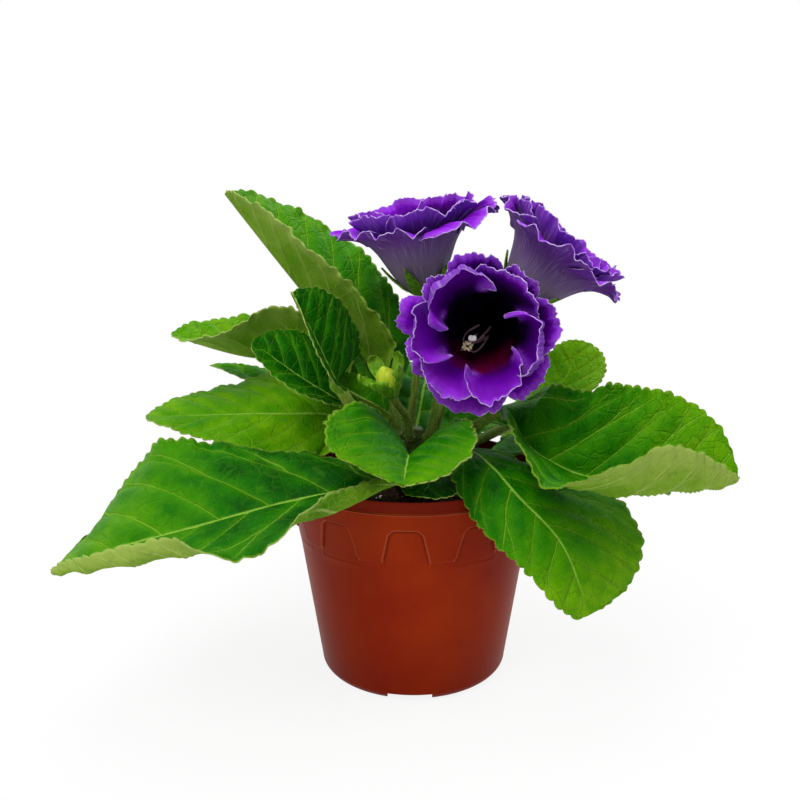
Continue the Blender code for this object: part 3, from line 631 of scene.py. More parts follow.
def stations(values, u):
    """Smooth curve through evenly spaced values, read at u in 0..1."""
    v = np.asarray(values, float)
    if len(v) == 1:
        return np.repeat(v, len(u), axis=0)
    x = np.clip(u, 0, 1) * (len(v) - 1)
    i = np.minimum(x.astype(int), len(v) - 2)
    f = (x - i).reshape(-1, *([1] * (v.ndim - 1)))
    p = np.concatenate([[2 * v[0] - v[1]], v, [2 * v[-1] - v[-2]]])
    a, b, c, d = p[i], p[i + 1], p[i + 2], p[i + 3]
    return b + 0.5 * f * (c - a + f * (2 * a - 5 * b + 4 * c - d + f * (3 * (b - c) + d - a)))


def curve(points, steps=600):
    """Finely spaced points of a smooth curve, and the length run at each."""
    p = np.asarray(points, float)
    knot = running_total(np.linalg.norm(np.diff(p, axis=0), axis=1) ** 0.5)
    gap = np.diff(knot)[:, None]
    slope = np.diff(p, axis=0) / gap
    bend = np.concatenate([slope, slope])
    if len(p) > 2:
        inner = (slope[:-1] * gap[1:] + slope[1:] * gap[:-1]) / (gap[1:] + gap[:-1])
        bend = np.concatenate([[1.5 * slope[0] - 0.5 * inner[0]], inner, [1.5 * slope[-1] - 0.5 * inner[-1]]])
    t = np.linspace(0, knot[-1], steps)
    i = np.clip(np.searchsorted(knot, t, side="right") - 1, 0, len(p) - 2)
    f = ((t - knot[i]) / gap[i, 0])[:, None]
    h = gap[i]
    fine = ((1 + 2 * f) * (1 - f) ** 2 * p[i] + f * (1 - f) ** 2 * h * bend[i]
            + f * f * (3 - 2 * f) * p[i + 1] + f * f * (f - 1) * h * bend[i + 1])
    return fine, running_total(np.linalg.norm(np.diff(fine, axis=0), axis=1))


def read(table, run, at):
    """Columns of table, given at run, read at any distances; it runs straight on past the end."""
    made = np.stack([np.interp(at, run, table[:, k]) for k in range(table.shape[1])], -1)
    past = np.clip(at - run[-1], 0, None)[..., None]
    return made + past * (table[-1] - table[-4]) / (run[-1] - run[-4])


def evenly(profile, count):
    """Radius and height at even steps along the smooth curve through a profile, as two columns."""
    fine, run = curve([(r, 0, z) for r, z in profile])
    shape = read(fine, run, np.linspace(0, run[-1], count))
    return shape[:, :1], shape[:, 2:3]


def ripple(x, seed, octaves=3):
    """Smooth, repeatable wandering about 0 along x."""
    rng = np.random.default_rng(seed)
    total = 0 * x
    for k in range(octaves):
        waves = x * (1.0 + k * 1.37 + rng.random())
        total = total + RIPPLE_HEIGHT * np.sin(waves * 2 * pi + rng.random() * 6.3) / (k + 1)
    return total


def grid_faces(rows, columns, wrap=False, start=0, flip=False):
    """Faces of a grid whose points are numbered row by row."""
    i, j = np.meshgrid(np.arange(rows - 1), np.arange(columns if wrap else columns - 1), indexing="ij")
    k = (j + 1) % columns
    quads = np.stack([i * columns + j, i * columns + k, (i + 1) * columns + k, (i + 1) * columns + j], -1)
    quads = quads.reshape(-1, 4) + start
    return (quads[:, ::-1] if flip else quads).tolist()


def tube_faces(rows, columns):
    """Faces of rings stacked into a tube, with a cap on each end."""
    first = list(range(columns))[::-1]
    last = list(range((rows - 1) * columns, rows * columns))
    return grid_faces(rows, columns, wrap=True) + [first, last]


def tube(points, radius, sides=16, spacing=1.2, knob=0.0, seed=0):
    """Points and faces of a round stalk; radius holds even steps, and knob is how uneven the stalk is."""
    fine, run = curve(points)
    rows = max(8, int(run[-1] / spacing))
    at = np.linspace(0, run[-1], rows)
    centres = read(fine, run, at)
    ways = unit(np.gradient(centres, axis=0))
    radii = stations(radius, at / run[-1]) * (1 + knob * ripple(at / 14, seed))
    turn = around(sides)
    across = np.cross(ways[0], (0.3, 0.2, 1.0))
    rings = []
    for centre, way, r in zip(centres, ways, radii):
        across = across - way * across.dot(way)
        across /= np.linalg.norm(across)
        other = np.cross(way, across)
        rings.append(centre + r * (np.cos(turn)[:, None] * across + np.sin(turn)[:, None] * other))
    return np.concatenate(rings), tube_faces(rows, sides)


def joined(shapes):
    """Several (points, faces) as one."""
    points, faces, start = [], [], 0
    for own_points, own_faces in shapes:
        points.append(np.asarray(own_points, float))
        faces += [[v + start for v in face] for face in own_faces]
        start += len(own_points)
    return np.concatenate(points), faces


def linked(name, data):
    """A new object in the scene."""
    obj = bpy.data.objects.new(name, data)
    bpy.context.scene.collection.objects.link(obj)
    return obj


def set_attribute(mesh, name, values):
    """One number or one vector for each point."""
    values = np.asarray(values, np.float32)
    kind, field = ("FLOAT", "value") if values.ndim == 1 else ("FLOAT_VECTOR", "vector")
    mesh.attributes.new(name, kind, "POINT").data.foreach_set(field, values.ravel())


def make(name, points, faces, materials, face_material=None, attributes=None, uv=None):
    """Mesh object from points in millimetres; attributes and uv hold one entry per point."""
    mesh = bpy.data.meshes.new(name)
    mesh.from_pydata((np.asarray(points, float) * MM).tolist(), [], [list(face) for face in faces])
    for material in materials:
        mesh.materials.append(finishes[material])
    if face_material is not None:
        mesh.polygons.foreach_set("material_index", np.asarray(face_material, np.int32))
    for key, values in (attributes or {}).items():
        set_attribute(mesh, key, values)
    if uv is not None:
        corner = np.empty(len(mesh.loops), np.int32)
        mesh.loops.foreach_get("vertex_index", corner)
        layer = mesh.uv_layers.new(name="flat")
        layer.uv.foreach_set("vector", np.asarray(uv, np.float32)[corner].ravel())
    mesh.update()
    mesh.shade_smooth()
    return linked(name, mesh)


def without_doubles(obj, turned_out=False):
    """Merges points that coincide, and turns the faces outwards where asked."""
    bm = bmesh.new()
    bm.from_mesh(obj.data)
    bmesh.ops.remove_doubles(bm, verts=bm.verts, dist=MERGE)
    if turned_out:
        bmesh.ops.recalc_face_normals(bm, faces=bm.faces)
    bm.to_mesh(obj.data)
    bm.free()
    return obj


def baked_down(obj):
    """Applies an object's modifiers by making its evaluated mesh its own."""
    graph = bpy.context.evaluated_depsgraph_get()
    made = obj.evaluated_get(graph)
    mesh = bpy.data.meshes.new_from_object(made, preserve_all_data_layers=True, depsgraph=graph)
    obj.modifiers.clear()
    old = obj.data
    obj.data = mesh
    bpy.data.meshes.remove(old)
    mesh.name = obj.name
    return obj


def placed(obj, matrix):
    """Moves a piece's mesh, so that its object stays at the origin."""
    obj.data.transform(matrix)
    obj.data.update()
    return obj


def dressed(obj, slot, *nodes):
    """Hands a finished piece over: attaches it to the root body and hides the nodes that it stands for; slot
    is not used.
    """
    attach(obj, "root")
    if nodes:
        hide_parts(*nodes)
    return obj


def rooted(root, reach, rise):
    """First two points of a stalk: at the crown, and reach further out and a share rise of that higher."""
    bearing, z = radians(root[0]), root[1]
    radii, heights = zip(*CROWN_PROFILE)
    crown_radius = np.interp(z, np.array(heights) + SOIL_TOP, radii)
    out = np.array([cos(bearing), sin(bearing), 0.0])
    foot = (crown_radius + GAP + 0.15) * out + np.array([0, 0, z])
    return [foot, foot + reach * out + np.array([0, 0, reach * rise])]


# ---- leaves -------------------------------------------------------------------------------------
HALF_COLUMNS = 22           # columns of points from midrib to margin
STALK_ROW = 2.2             # spacing of the rows along the bare stalk
NOTCH = 0.72                # how much of a tooth's depth is cut in from the smooth margin
SWEEP = 10                  # power of the share across at which a tooth pulls the skin along with it
RIGHT_VEINS = 0.45          # the right half's side veins leave the midrib this share of a spacing later


def outline(u, broad, full):
    """Half width at u along the blade, 1 where it is broadest."""
    power = np.log(0.5) / np.log(broad)
    return np.sin(pi * np.clip(u, 0, 1) ** power).clip(0) ** full


def scallops(arc, pitch, seed):
    """Rounded teeth that lean towards the tip, 0 in the notches and 1 on the crests."""
    phase = arc / pitch + 0.30 * ripple(arc / (7 * pitch), seed, 2)
    t = (phase % 1.0) ** 1.15
    return np.sin(pi * t) ** 0.50 * (0.85 + 0.15 * np.sin(np.floor(phase) * 2.3 + seed))


class Leaf:
    """One leaf: blade, midrib and stalk in one skin, made of columns of points that run from base to tip."""

    def __init__(self, name, root, rib, stalk, broad, full, wide, tint_and_light, fold_left, fold_right,
                 curl_left=(0,), curl_right=(0,), roll=(0.0, 1.25), steady=0.07):
        self.name = name
        self.seed = sum(map(ord, name))
        self.roll = roll
        self.halves = {-1: (fold_left, curl_left, wide[0], pair(broad)[0], pair(full)[0]),
                       1: (fold_right, curl_right, wide[1], pair(broad)[1], pair(full)[1])}
        self.size = min(1, max(wide) / GROWN_HALF_WIDTH)
        self.pitch = 3.6 + 1.6 * self.size + 0.04 * max(0, max(wide) - GROWN_HALF_WIDTH)    # of the teeth
        self.radius = STALK_RADIUS * min(1, max(wide) / STOUT_HALF_WIDTH)
        self.thick = 0.5 * (0.5 + 0.5 * self.size)              # half the sheet's, beside the midrib
        fine, run = curve(rooted(root, reach=7.0, rise=0.2) + rib)
        length = run[-1]
        self.blade = (1 - stalk) * length
        self.spacing = self.blade / (2.4 + 4.4 * self.size)     # between side veins
        self.u = self.rows(stalk, length)
        self.x = stalk * length + self.u * self.blade           # distance along the line
        self.bare = np.clip(1 - self.u / 0.12, 0, 1)            # 1 on the stalk, 0 on the open blade
        self.open = smooth(self.u, 0.0, 0.08) * (1 - smooth(self.u, 0.88, 1.0))     # where it is quilted
        self.keep = smooth(self.u, 0.02, 0.10)                  # where its margin has teeth and waves
        # tint_and_light from base to tip: partly the leaf's own colour, partly painted sheen towards the tip
        self.tint_and_light = tint_and_light[0] + (tint_and_light[1] - tint_and_light[0]) * smooth(self.u, 0.20, 1.0)
        ahead = read(fine, run, np.clip(run + steady * length, 0, length))
        behind = read(fine, run, np.clip(run - steady * length, 0, length))
        self.centre = read(fine, run, self.x)
        self.way = unit(read(unit(ahead - behind), run, np.minimum(self.x, length)))
        self.level = unit(np.cross(self.way, (0, 0, 1)))
        self.up = np.cross(self.level, self.way)

    def rows(self, stalk, length):
        """Places along the blade, less than 0 on the stalk.

        They stand at even steps of the margin, so that the scallops keep their shape at base and tip.
        """
        t = np.linspace(0, 1, 1600)
        mean = sum(reach * outline(t, broad, full) for _, _, reach, broad, full in self.halves.values()) / 2
        margin = running_total(np.hypot(np.diff(t) * self.blade, np.diff(mean)))
        count = int(margin[-1] / (0.5 + 0.14 * self.size))
        on_stalk = max(8, int(stalk * length / STALK_ROW))
        u = np.concatenate([np.linspace(-stalk / (1 - stalk), 0, on_stalk, endpoint=False),
                            np.interp(np.linspace(0, margin[-1], count), margin, t)])
        u[-1] = 1.0
        return u

    def vein(self, off, reach):
        """Which side vein a place off millimetres from the midrib lies at, counted from the base."""
        vein = (self.u * self.blade - off * (0.50 + 0.45 * self.u) - 0.30 * off ** 2 / reach) / self.spacing
        return vein + 0.12 * ripple(vein * 0.3, self.seed, 2)

    def crease(self, off):
        """Depth of the valley over the midrib."""
        return 0.5 * self.size * np.exp(-(off / 2.0) ** 2) * self.open

    def keel(self, off):
        """Height of the midrib under the blade."""
        depth = RIB_DEPTH * (1 - np.clip(self.u, 0, 1)) + 0.2
        return depth * self.size * np.exp(-(off / 1.7) ** 2) * (1 - self.bare)

    def relief(self, side, s, off, vein):
        """How far the upper and the lower skin stand off the sheet's middle, a share s out to the margin.

        The skin rises between the side veins and dips along them. On the stalk it closes to a round.
        """
        cell = (vein + (RIGHT_VEINS if side > 0 else 0) + 0.5) % 1.0 - 0.5
        near = 1 - 2 * np.abs(cell)
        small = np.sin(off * 0.9 + self.seed) * np.sin(self.u * self.blade * 0.8 + off * 0.35)
        bulge = 0.075 * self.spacing
        puff = (1 - near ** 2 + 0.10 * small) * bulge * np.sin(pi * min(s * 1.05, 1)) ** 0.7 * self.open
        groove = smooth(near, 0.80, 1.0) * 0.45 * (1 - s ** 3) * self.open
        ridge = smooth(near, 0.86, 1.0) * 0.45 * self.size * (1 - s ** 2) * self.open
        round_part = self.bare * self.radius * np.sqrt(np.maximum(1 - s * s, 0.004))
        body = np.maximum(round_part, (1 - self.bare) * (self.thick * (1 - 0.45 * s)))
        return body + puff - groove - self.crease(off), body - puff * 0.85 + ridge + self.keel(off)

    def half(self, side):
        """The columns of one half, from the one beside the midrib to the margin's."""
        fold, curl, reach, broad, full = self.halves[side]
        least = self.radius * (1 - 0.85 * np.clip(self.u, 0, 1)) * (self.u < 0.999)
        half = np.maximum(reach * outline(self.u, broad, full), least)
        du = np.gradient(self.u * self.blade)
        dy = np.gradient(half)
        norm = np.hypot(du, dy) + 1e-9
        flat_arc = running_total(np.hypot(np.diff(self.u * self.blade), np.diff(half)))
        lift = np.radians(stations(fold, self.u)) * (1 - self.bare)
        turn = np.radians(stations(curl, self.u)) * (1 - self.bare)
        long_waves = ripple(flat_arc / 62, self.seed + 7 * side) * 8.0          # degrees
        short_waves = ripple(flat_arc / 19, self.seed + 5 * side, 2) * 9.0

        def slope(share):
            """Angle of the skin across the blade, a share of the way from midrib to margin."""
            wave = long_waves * share ** 2 + short_waves * smooth(share, 0.6, 1.0)
            return lift + turn * smooth(share, *self.roll) + np.radians(wave) * self.keep

        # the margin without its teeth gives the length that the teeth are spaced along
        middles = (np.arange(HALF_COLUMNS) + 0.5) / HALF_COLUMNS
        y = sum(np.cos(slope(share)) for share in middles) * half / HALF_COLUMNS
        z = sum(np.sin(slope(share)) for share in middles) * half / HALF_COLUMNS
        line = self.centre + side * self.level * y[:, None] + self.up * z[:, None]
        arc = running_total(np.linalg.norm(np.diff(line, axis=0), axis=1))
        arc -= arc[np.searchsorted(self.u, 0)]
        crowding = np.clip(np.gradient(arc) / np.maximum(np.gradient(flat_arc), 1e-6), 0.3, 1.0)
        tooth = (scallops(arc, self.pitch, self.seed + side) - NOTCH) * (1.1 + 1.0 * self.size) * self.keep
        sweep_along = -dy / norm * tooth * crowding
        sweep_out = np.maximum(du / norm * tooth, -0.8 * half)

        columns = {}
        y = z = np.zeros_like(self.u)
        for k in range(1, HALF_COLUMNS + 1):
            s = k / HALF_COLUMNS
            step = half / HALF_COLUMNS + sweep_out * (s ** SWEEP - ((k - 1) / HALF_COLUMNS) ** SWEEP)
            angle = slope(s - 0.5 / HALF_COLUMNS)
            y = y + np.cos(angle) * step
            z = z + np.sin(angle) * step
            off = half * s
            vein = self.vein(off, reach)
            above, beneath = self.relief(side, s, off, vein)
            columns[side * k] = self.column(sweep_along * s ** SWEEP, side, y, z, angle, above, beneath,
                                            side * s, side * off, vein)
        return columns

    def midrib(self):
        zero = np.zeros_like(self.u)
        middle = np.maximum(self.bare * self.radius, self.thick)
        return self.column(zero, 1, zero, zero, zero, middle - self.crease(zero), middle + self.keel(zero),
                           0.0, zero, self.vein(zero, 1))

    def column(self, ahead, side, y, z, angle, above, beneath, share, off, vein):
        """One column: its points on the upper and the lower skin, and what the finishes read there."""
        out = side * self.level
        point = self.centre + self.way * ahead[:, None] + out * y[:, None] + self.up * z[:, None]
        normal = -out * np.sin(angle)[:, None] + self.up * np.cos(angle)[:, None]
        return dict(
            upper=point + normal * above[:, None],
            lower=point - normal * beneath[:, None],
            flat=np.stack([(self.x + ahead) / 100, off / 100], -1),
            place=np.stack([self.u, np.full_like(self.u, share), self.tint_and_light], -1),
            vein=vein)

    def build(self):
        """The leaf as a finished piece."""
        columns = {**self.half(-1), 0: self.midrib(), **self.half(1)}
        columns = [columns[k] for k in range(-HALF_COLUMNS, HALF_COLUMNS + 1)]

        def around_skin(over, under):
            """Values of the upper skin's columns and then, back again, of the lower skin's."""
            rings = np.stack([c[over] for c in columns] + [c[under] for c in columns[::-1]], 1)
            return rings.reshape(-1, *rings.shape[2:])

        per = 2 * len(columns)
        rows = len(self.u)
        row = np.repeat(np.arange(rows - 1), per)
        column = np.tile(np.arange(per), rows - 1)
        upper, lower, stalk = 0, 1, 2
        material = np.where(column < len(columns), upper, lower)
        material = np.where(self.u[row] < 0.0, stalk, material)
        made = make(self.name + "_blade", around_skin("upper", "lower"), tube_faces(rows, per),
                    ["leaf", "leaf_under", "leaf_stalk"], np.concatenate([material, [stalk, upper]]),
                    {"place": around_skin("place", "place"), "vein": around_skin("vein", "vein")},
                    around_skin("flat", "flat"))
        return dressed(without_doubles(made, turned_out=True), "leaf", self.name)


for leaf_name, leaf in LEAVES.items():
    Leaf(leaf_name, **leaf).build()


# ---- flowers ------------------------------------------------------------------------------------
PETAL_COLUMNS = 46          # across a lobe
PETAL_THICKNESS = 0.36

# free         share of the profile at which the lobes part
# slack        how much wider than its place in the whorl a lobe opens, as a share
# start_deep   how far up the tube the whorl starts, 0 base to 1 edge, for its colour
OUTER_WHORL = dict(profile=COROLLA, free=0.66, slack=0.26, start_deep=0.0, rows=54)
INNER_WHORL = dict(profile=INNER_COROLLA, free=0.38, slack=0.30, start_deep=0.44, rows=44)


def flower_matrix(at, axis, turn=0):
    way = Vector(axis).normalized()
    return (Matrix.Translation(Vector(at) * MM) @ way.to_track_quat("Z", "Y").to_matrix().to_4x4()
            @ Matrix.Rotation(radians(turn), 4, "Z"))


class Whorl:
    """Tube and lobes of a flower in one sheet. The lobes overlap from where they part."""

    def __init__(self, profile, free, slack, start_deep, rows, frill, seed):
        fine, run = curve([(r, 0, z) for r, z in profile])
        self.run = run
        self.radii = fine[:, 0]
        self.foot = fine[0, [0, 2]]
        self.slopes = np.unwrap(np.arctan2(np.gradient(fine[:, 2]), np.gradient(fine[:, 0])))
        self.length = run[-1]
        self.free = free
        self.frill = frill
        self.slack = slack
        self.seed = seed
        self.start_deep = start_deep
        tube_rows = int(rows * 0.30)
        open_rows = np.linspace(0, 1, rows - tube_rows) ** 0.85
        self.q = np.concatenate([np.linspace(0, free, tube_rows, endpoint=False),
                                 free + (1 - free) * open_rows])    # share of the way to the edge
        self.g = np.clip((self.q - free) / (1 - free), 0, 1)[:, None]       # 0 on the tube, 1 at the edge
        self.p = np.linspace(-1, 1, PETAL_COLUMNS)                  # -1 and 1 at the lobe's side edges

    def borders(self, lobes):
        """Bearing of the border after each lobe, shared out by the lobes' widths."""
        centres = np.array([lobe[0] % 360 for lobe in lobes], float)
        halves = np.array([lobe[1] for lobe in lobes], float)
        gaps = (np.roll(centres, -1) - centres) % 360
        return centres + gaps * halves / (halves + np.roll(halves, -1))

    def reach_of(self, k, reach, half):
        """Distance from the tube's base to the lobe's jagged edge, across the lobe."""
        p, seed = self.p, self.seed
        along = p * half * self.length * 0.9
        jag = (ripple(along / 17 + k * 3.1, seed + k) * 0.9 + ripple(along / 4.6 + k, seed + 31 + k, 2) * 0.60
               + ripple(along / 2.1 + k, seed + 61 + k, 2) * 0.55)
        even = reach * self.length * (1 - 0.24 * np.abs(p) ** 5 - 0.04 * p ** 2)
        return even + jag * (1 - 0.4 * np.abs(p) ** 4)

    def frills(self, k, arc):
        """Waves of three lengths along the rim, different for each lobe."""
        return (np.sin(arc * 2 * pi / 12.5 + k * 1.7 + 1.3 * np.sin(k * 2.3 + self.seed))
                + 0.50 * np.sin(arc * 2 * pi / 6.3 + k) + 0.22 * np.sin(arc * 2 * pi / 3.1 + 2.2 * k))

    def side_lift(self, low, high):
        """Height that the side edges stand off the whorl, so that neighbours pass over each other."""
        tuck = np.where(self.p < 0, low, high) * np.abs(self.p) ** 1.6
        return tuck[None] * smooth(self.g, 0, 0.6)

    def lobe(self, k, shape, start, end):
        """Points of lobe k between the bearings start and end, and what the finishes read there."""
        _, _, reach, curl, lift_low, lift_high = shape
        p, g, q, run, length = self.p, self.g, self.q[:, None], self.run, self.length
        middle, half = radians((start + end) / 2), radians((end - start) / 2)
        far = self.reach_of(k, reach, half)
        tube_length = self.free * length
        run_at = np.where(q <= self.free, q * length, tube_length + (far[None] - tube_length) * g)
        angle = np.interp(np.minimum(run_at, length), run, self.slopes)
        angle = angle + radians(curl) * g ** 2.6 + 0.22 * np.sin(3.1 * p[None] + k * 2.1 + self.seed) * g ** 2
        step = np.diff(run_at, axis=0)
        mid = 0.5 * (angle[1:] + angle[:-1])
        zero = np.zeros((1, PETAL_COLUMNS))
        r = self.foot[0] + np.concatenate([zero, np.cumsum(np.cos(mid) * step, 0)])
        z = self.foot[1] + np.concatenate([zero, np.cumsum(np.sin(mid) * step, 0)])

        # a curled lobe keeps its width, so it takes up more of the turn where it comes nearer to the axis
        plain = np.interp(np.minimum(run_at, length), run, self.radii) + np.maximum(run_at - length, 0) * 0.9
        keep_width = (np.maximum(plain, 1) / np.maximum(r, 4.0)) ** 0.55
        widened = np.where(g > 0, 1 + (keep_width - 1) * smooth(g, 0, 0.6), 1)
        bearing = middle + half * p[None] * (1 + self.slack * smooth(g, 0, 0.7)) * widened
        frills = self.frills(k, half * p[None] * plain)
        off = self.side_lift(lift_low, lift_high) + self.frill * frills * g ** 2.2
        r = r - np.sin(angle) * off
        z = z + np.cos(angle) * off

        flat_bearing = middle + half * p
        to_side = np.hypot((1 - np.abs(p[None])) * half * plain, np.clip(tube_length - run_at, 0, None))
        depth = self.start_deep + (1 - self.start_deep) * run_at / length
        low_side = smooth(-np.sin(flat_bearing), 0.1, 0.9)[None]
        # painted shade on the lobes, strongest about PAINTED_SHADE_SIDE
        painted_shade_by_bearing = np.cos(flat_bearing - radians(PAINTED_SHADE_SIDE))[None] * 0.6 + 0.4
        flat = np.stack([flat_bearing[None] * 0.25 + 0 * run_at, run_at / 100], -1)
        return dict(
            points=np.stack([r * np.cos(bearing), r * np.sin(bearing), z], -1).reshape(-1, 3),
            edge=np.minimum(far[None] - run_at, to_side).ravel(),
            deep=np.clip(depth, 0, 1.05).ravel(),
            blush=(low_side * smooth(depth, 0.20, 0.40) * (1 - smooth(depth, 0.62, 0.70))).ravel(),
            dusk=(painted_shade_by_bearing + 0 * g).ravel(),
            flat=flat.reshape(-1, 2))

    def build(self, name, lobes):
        """The whorl as a mesh of even thickness, its petals' backs in the second material."""
        lobes = sorted(lobes, key=lambda lobe: lobe[0] % 360)
        borders = self.borders(lobes)
        starts = [borders[-1] - 360, *borders[:-1]]
        sheets = [self.lobe(k, *lobe) for k, lobe in enumerate(zip(lobes, starts, borders))]
        per = len(self.q) * PETAL_COLUMNS
        faces = [face for k in range(len(lobes))
                 for face in grid_faces(len(self.q), PETAL_COLUMNS, start=k * per, flip=True)]
        whole = {key: np.concatenate([sheet[key] for sheet in sheets]) for key in sheets[0]}
        marks = {key: whole[key] for key in ("edge", "deep", "blush", "dusk")}
        made = make(name, whole["points"], faces, ["petal", "petal_out"], attributes=marks, uv=whole["flat"])
        solid = without_doubles(made).modifiers.new("thickness", "SOLIDIFY")
        solid.thickness = PETAL_THICKNESS * MM
        solid.offset = 0.0
        solid.use_even_offset = False
        solid.material_offset = 1
        solid.material_offset_rim = 0
        return baked_down(made)


SEPALS = 5
SEPAL_FOOT = -2.2           # height at which the sepals start, in the cup under the tube
CUP = [(1.6, -2.4), (2.3, -2.3), (2.9, -1.6), (3.6, -0.8), (3.9, 0.1), (3.2, 0.1), (2.6, -0.6), (1.2, -1.4)]


def one_sepal(k, profile, length, width, flare, rng, columns=9, rows=16):
    """Pointed, keeled sepal that lies along the flower's tube and flares out at its tip."""
    radii, heights = zip(*profile)
    own_length = length * (0.88 + 0.24 * rng.random())
    own_flare = flare * (0.6 + 0.9 * rng.random())
    t = np.linspace(0, 1, rows)[:, None]
    p = np.linspace(-1, 1, columns)[None]
    z = SEPAL_FOOT + (own_length - SEPAL_FOOT) * t
    on_tube = np.interp(z, heights, radii) + 1.0
    on_tube = np.where(z < 0.6, 1.9 + (on_tube - 1.9) * smooth(z, -2.4, 0.6), on_tube)
    half_width = width * np.where(t < 0.3, 1.0, (1 - ((t - 0.3) / 0.7) ** 1.4))
    half_angle = np.minimum(half_width / np.maximum(on_tube, 1.0), pi / SEPALS * 1.04)
    radius = (on_tube + 0.35 + own_flare * smooth(t, 0.35, 1.0) - 0.55 * p * p * smooth(t, 0.1, 0.5)
              + 0.3 * (1 - p * p))
    bearing = 2 * pi * (k + 0.13 * (rng.random() - 0.5)) / SEPALS + half_angle * p
    thick = 0.42 * (1 - 0.5 * p * p) * (1 - 0.6 * t)
    outer = ring(radius + thick, z, bearing)
    inner = ring(radius - thick, z, bearing)
    points = np.concatenate([outer, inner[:, ::-1]], 1)
    return points.reshape(-1, 3), tube_faces(rows, 2 * columns)


def sepals(name, profile, length, width, flare, seed):
    """Short cup that splits into sepals."""
    shapes = [one_sepal(k, profile, length, width, flare, np.random.default_rng(seed * 17 + k))
              for k in range(SEPALS)]
    turn = around(20)
    shapes.append((np.concatenate([ring(r, z, turn) for r, z in CUP]), tube_faces(len(CUP), len(turn))))
    return without_doubles(make(name, *joined(shapes), ["sepal"]), turned_out=True)


def with_balls(name, shapes, balls, subdivisions, materials):
    """Piece of the shapes in the first material and a set of ellipsoids in the second."""
    made = bmesh.new()
    for matrix in balls:
        bmesh.ops.create_icosphere(made, subdivisions=subdivisions, radius=1, matrix=matrix)
    made.verts.index_update()
    spots = [tuple(vert.co) for vert in made.verts]
    faces = [[vert.index for vert in face.verts] for face in made.faces]
    made.free()
    face_material = [0] * sum(len(own) for _, own in shapes) + [1] * len(faces)
    return make(name, *joined([*shapes, (spots, faces)]), materials, face_material)


def stamens(name):
    """Four slender filaments that bring their joined anthers together in the throat."""
    shapes, balls = [], []
    meeting = np.array([-6.0, -6.6, 18.2])
    for k in range(4):
        a = radians(35 + 90 * k)
        out = np.array([cos(a), 0.8 * sin(a), 0])
        line = [3.6 * out + (0, -1, 3.6), 5.2 * out + (-4.2, -5.0, 10.5), 3.6 * out + (-6.0, -7.0, 15.4),
                1.1 * out + meeting]
        shapes.append(tube(line, (0.55, 0.46, 0.36, 0.34), sides=8, spacing=0.9))
        for side in (-1, 1):
            spot = Vector(meeting + 1.5 * out) + Vector((side * 0.62 * sin(a), -side * 0.62 * cos(a), 0))
            balls.append(Matrix.Translation(spot) @ Matrix.Rotation(a, 4, "Z")
                         @ Matrix.Diagonal((1.15, 0.6, 0.75, 1)))
    return with_balls(name, shapes, balls, subdivisions=2, materials=["filament", "anther"])


def pistil(name):
    """Style with a stigma of two lobes, rounded together by a third ball."""
    line = [(0, -4.0, 3.4), (-1.8, -5.2, 10), (-3.2, -4.8, 17), (-3.5, -3.0, 23)]
    lobes = [((-2.8, -2.6, 23.8), (1.15, 1.3, 0.8)), ((-4.2, -2.6, 23.8), (1.15, 1.3, 0.8)),
             ((-3.5, -2.9, 23.5), (1.2, 1.1, 0.9))]
    balls = [Matrix.Translation(spot) @ Matrix.Diagonal((*size, 1)) for spot, size in lobes]
    style = tube(line, (1.1, 0.75, 0.6, 0.6), sides=10, spacing=0.9)
    return with_balls(name, [style], balls, subdivisions=3, materials=["filament", "stigma"])


def flower_stalk(name, root, line, radii, seed, node):
    line = rooted(root, reach=3.0, rise=0.5) + line
    points, faces = tube(line, radii, sides=14, spacing=1.1, knob=0.05, seed=seed)
    dressed(make(name, points, faces, ["stalk"]), "flower_stalk", node)


def build_flower(name, spec, seed):
    """A flower's five pieces, turned to where it looks, and its stalk."""
    frill = spec["frill"]
    outer = Whorl(**OUTER_WHORL, frill=frill, seed=seed)
    inner = Whorl(**INNER_WHORL, frill=frill, seed=seed + 50)
    pieces = (
        (outer.build("petals_outer_" + name, spec["outer"]), "petal", "corolla_outer_"),
        (inner.build("petals_inner_" + name, spec["inner"]), "petal_inner", "corolla_inner_"),
        (sepals("sepals_" + name, COROLLA[1:], length=15.5, width=3.4, flare=1.8, seed=seed),
         "calyx", "calyx_"),
        (stamens("anthers_" + name), "stamen", "stamens_"),
        (pistil("style_" + name), "pistil", "pistil_"))
    stand = flower_matrix(spec["at"], spec["axis"], spec["turn"])
    for piece, slot_name, node in pieces:
        dressed(placed(piece, stand), slot_name, node + name)
    way = Vector(spec["axis"]).normalized()
    foot = Vector(spec["at"]) + way * SEPAL_FOOT
    flower_stalk("stalk_of_" + name, spec["root"], spec["via"] + [tuple(foot - way * 5), tuple(foot)],
                 radii=(2.2, 1.7, 1.6, 1.6, 1.9), seed=seed, node="flower_stalk_" + name)


for number, (flower_name, flower) in enumerate(FLOWERS.items()):
    build_flower(flower_name, flower, seed=11 + 7 * number)


def bud_petals(rows=26, columns=40):
    """Closed bud, pleated where its petals will part."""
    radius, z = evenly(BUD_PROFILE, rows)
    turn = around(columns)
    pleat = 1 + 0.06 * np.cos(5 * turn[None] + 3 * z / 14) * smooth(z, 2, 9)
    points = ring(radius * pleat, z, turn).reshape(-1, 3)
    return make("bud_petals", points, tube_faces(rows, columns), ["bud"])


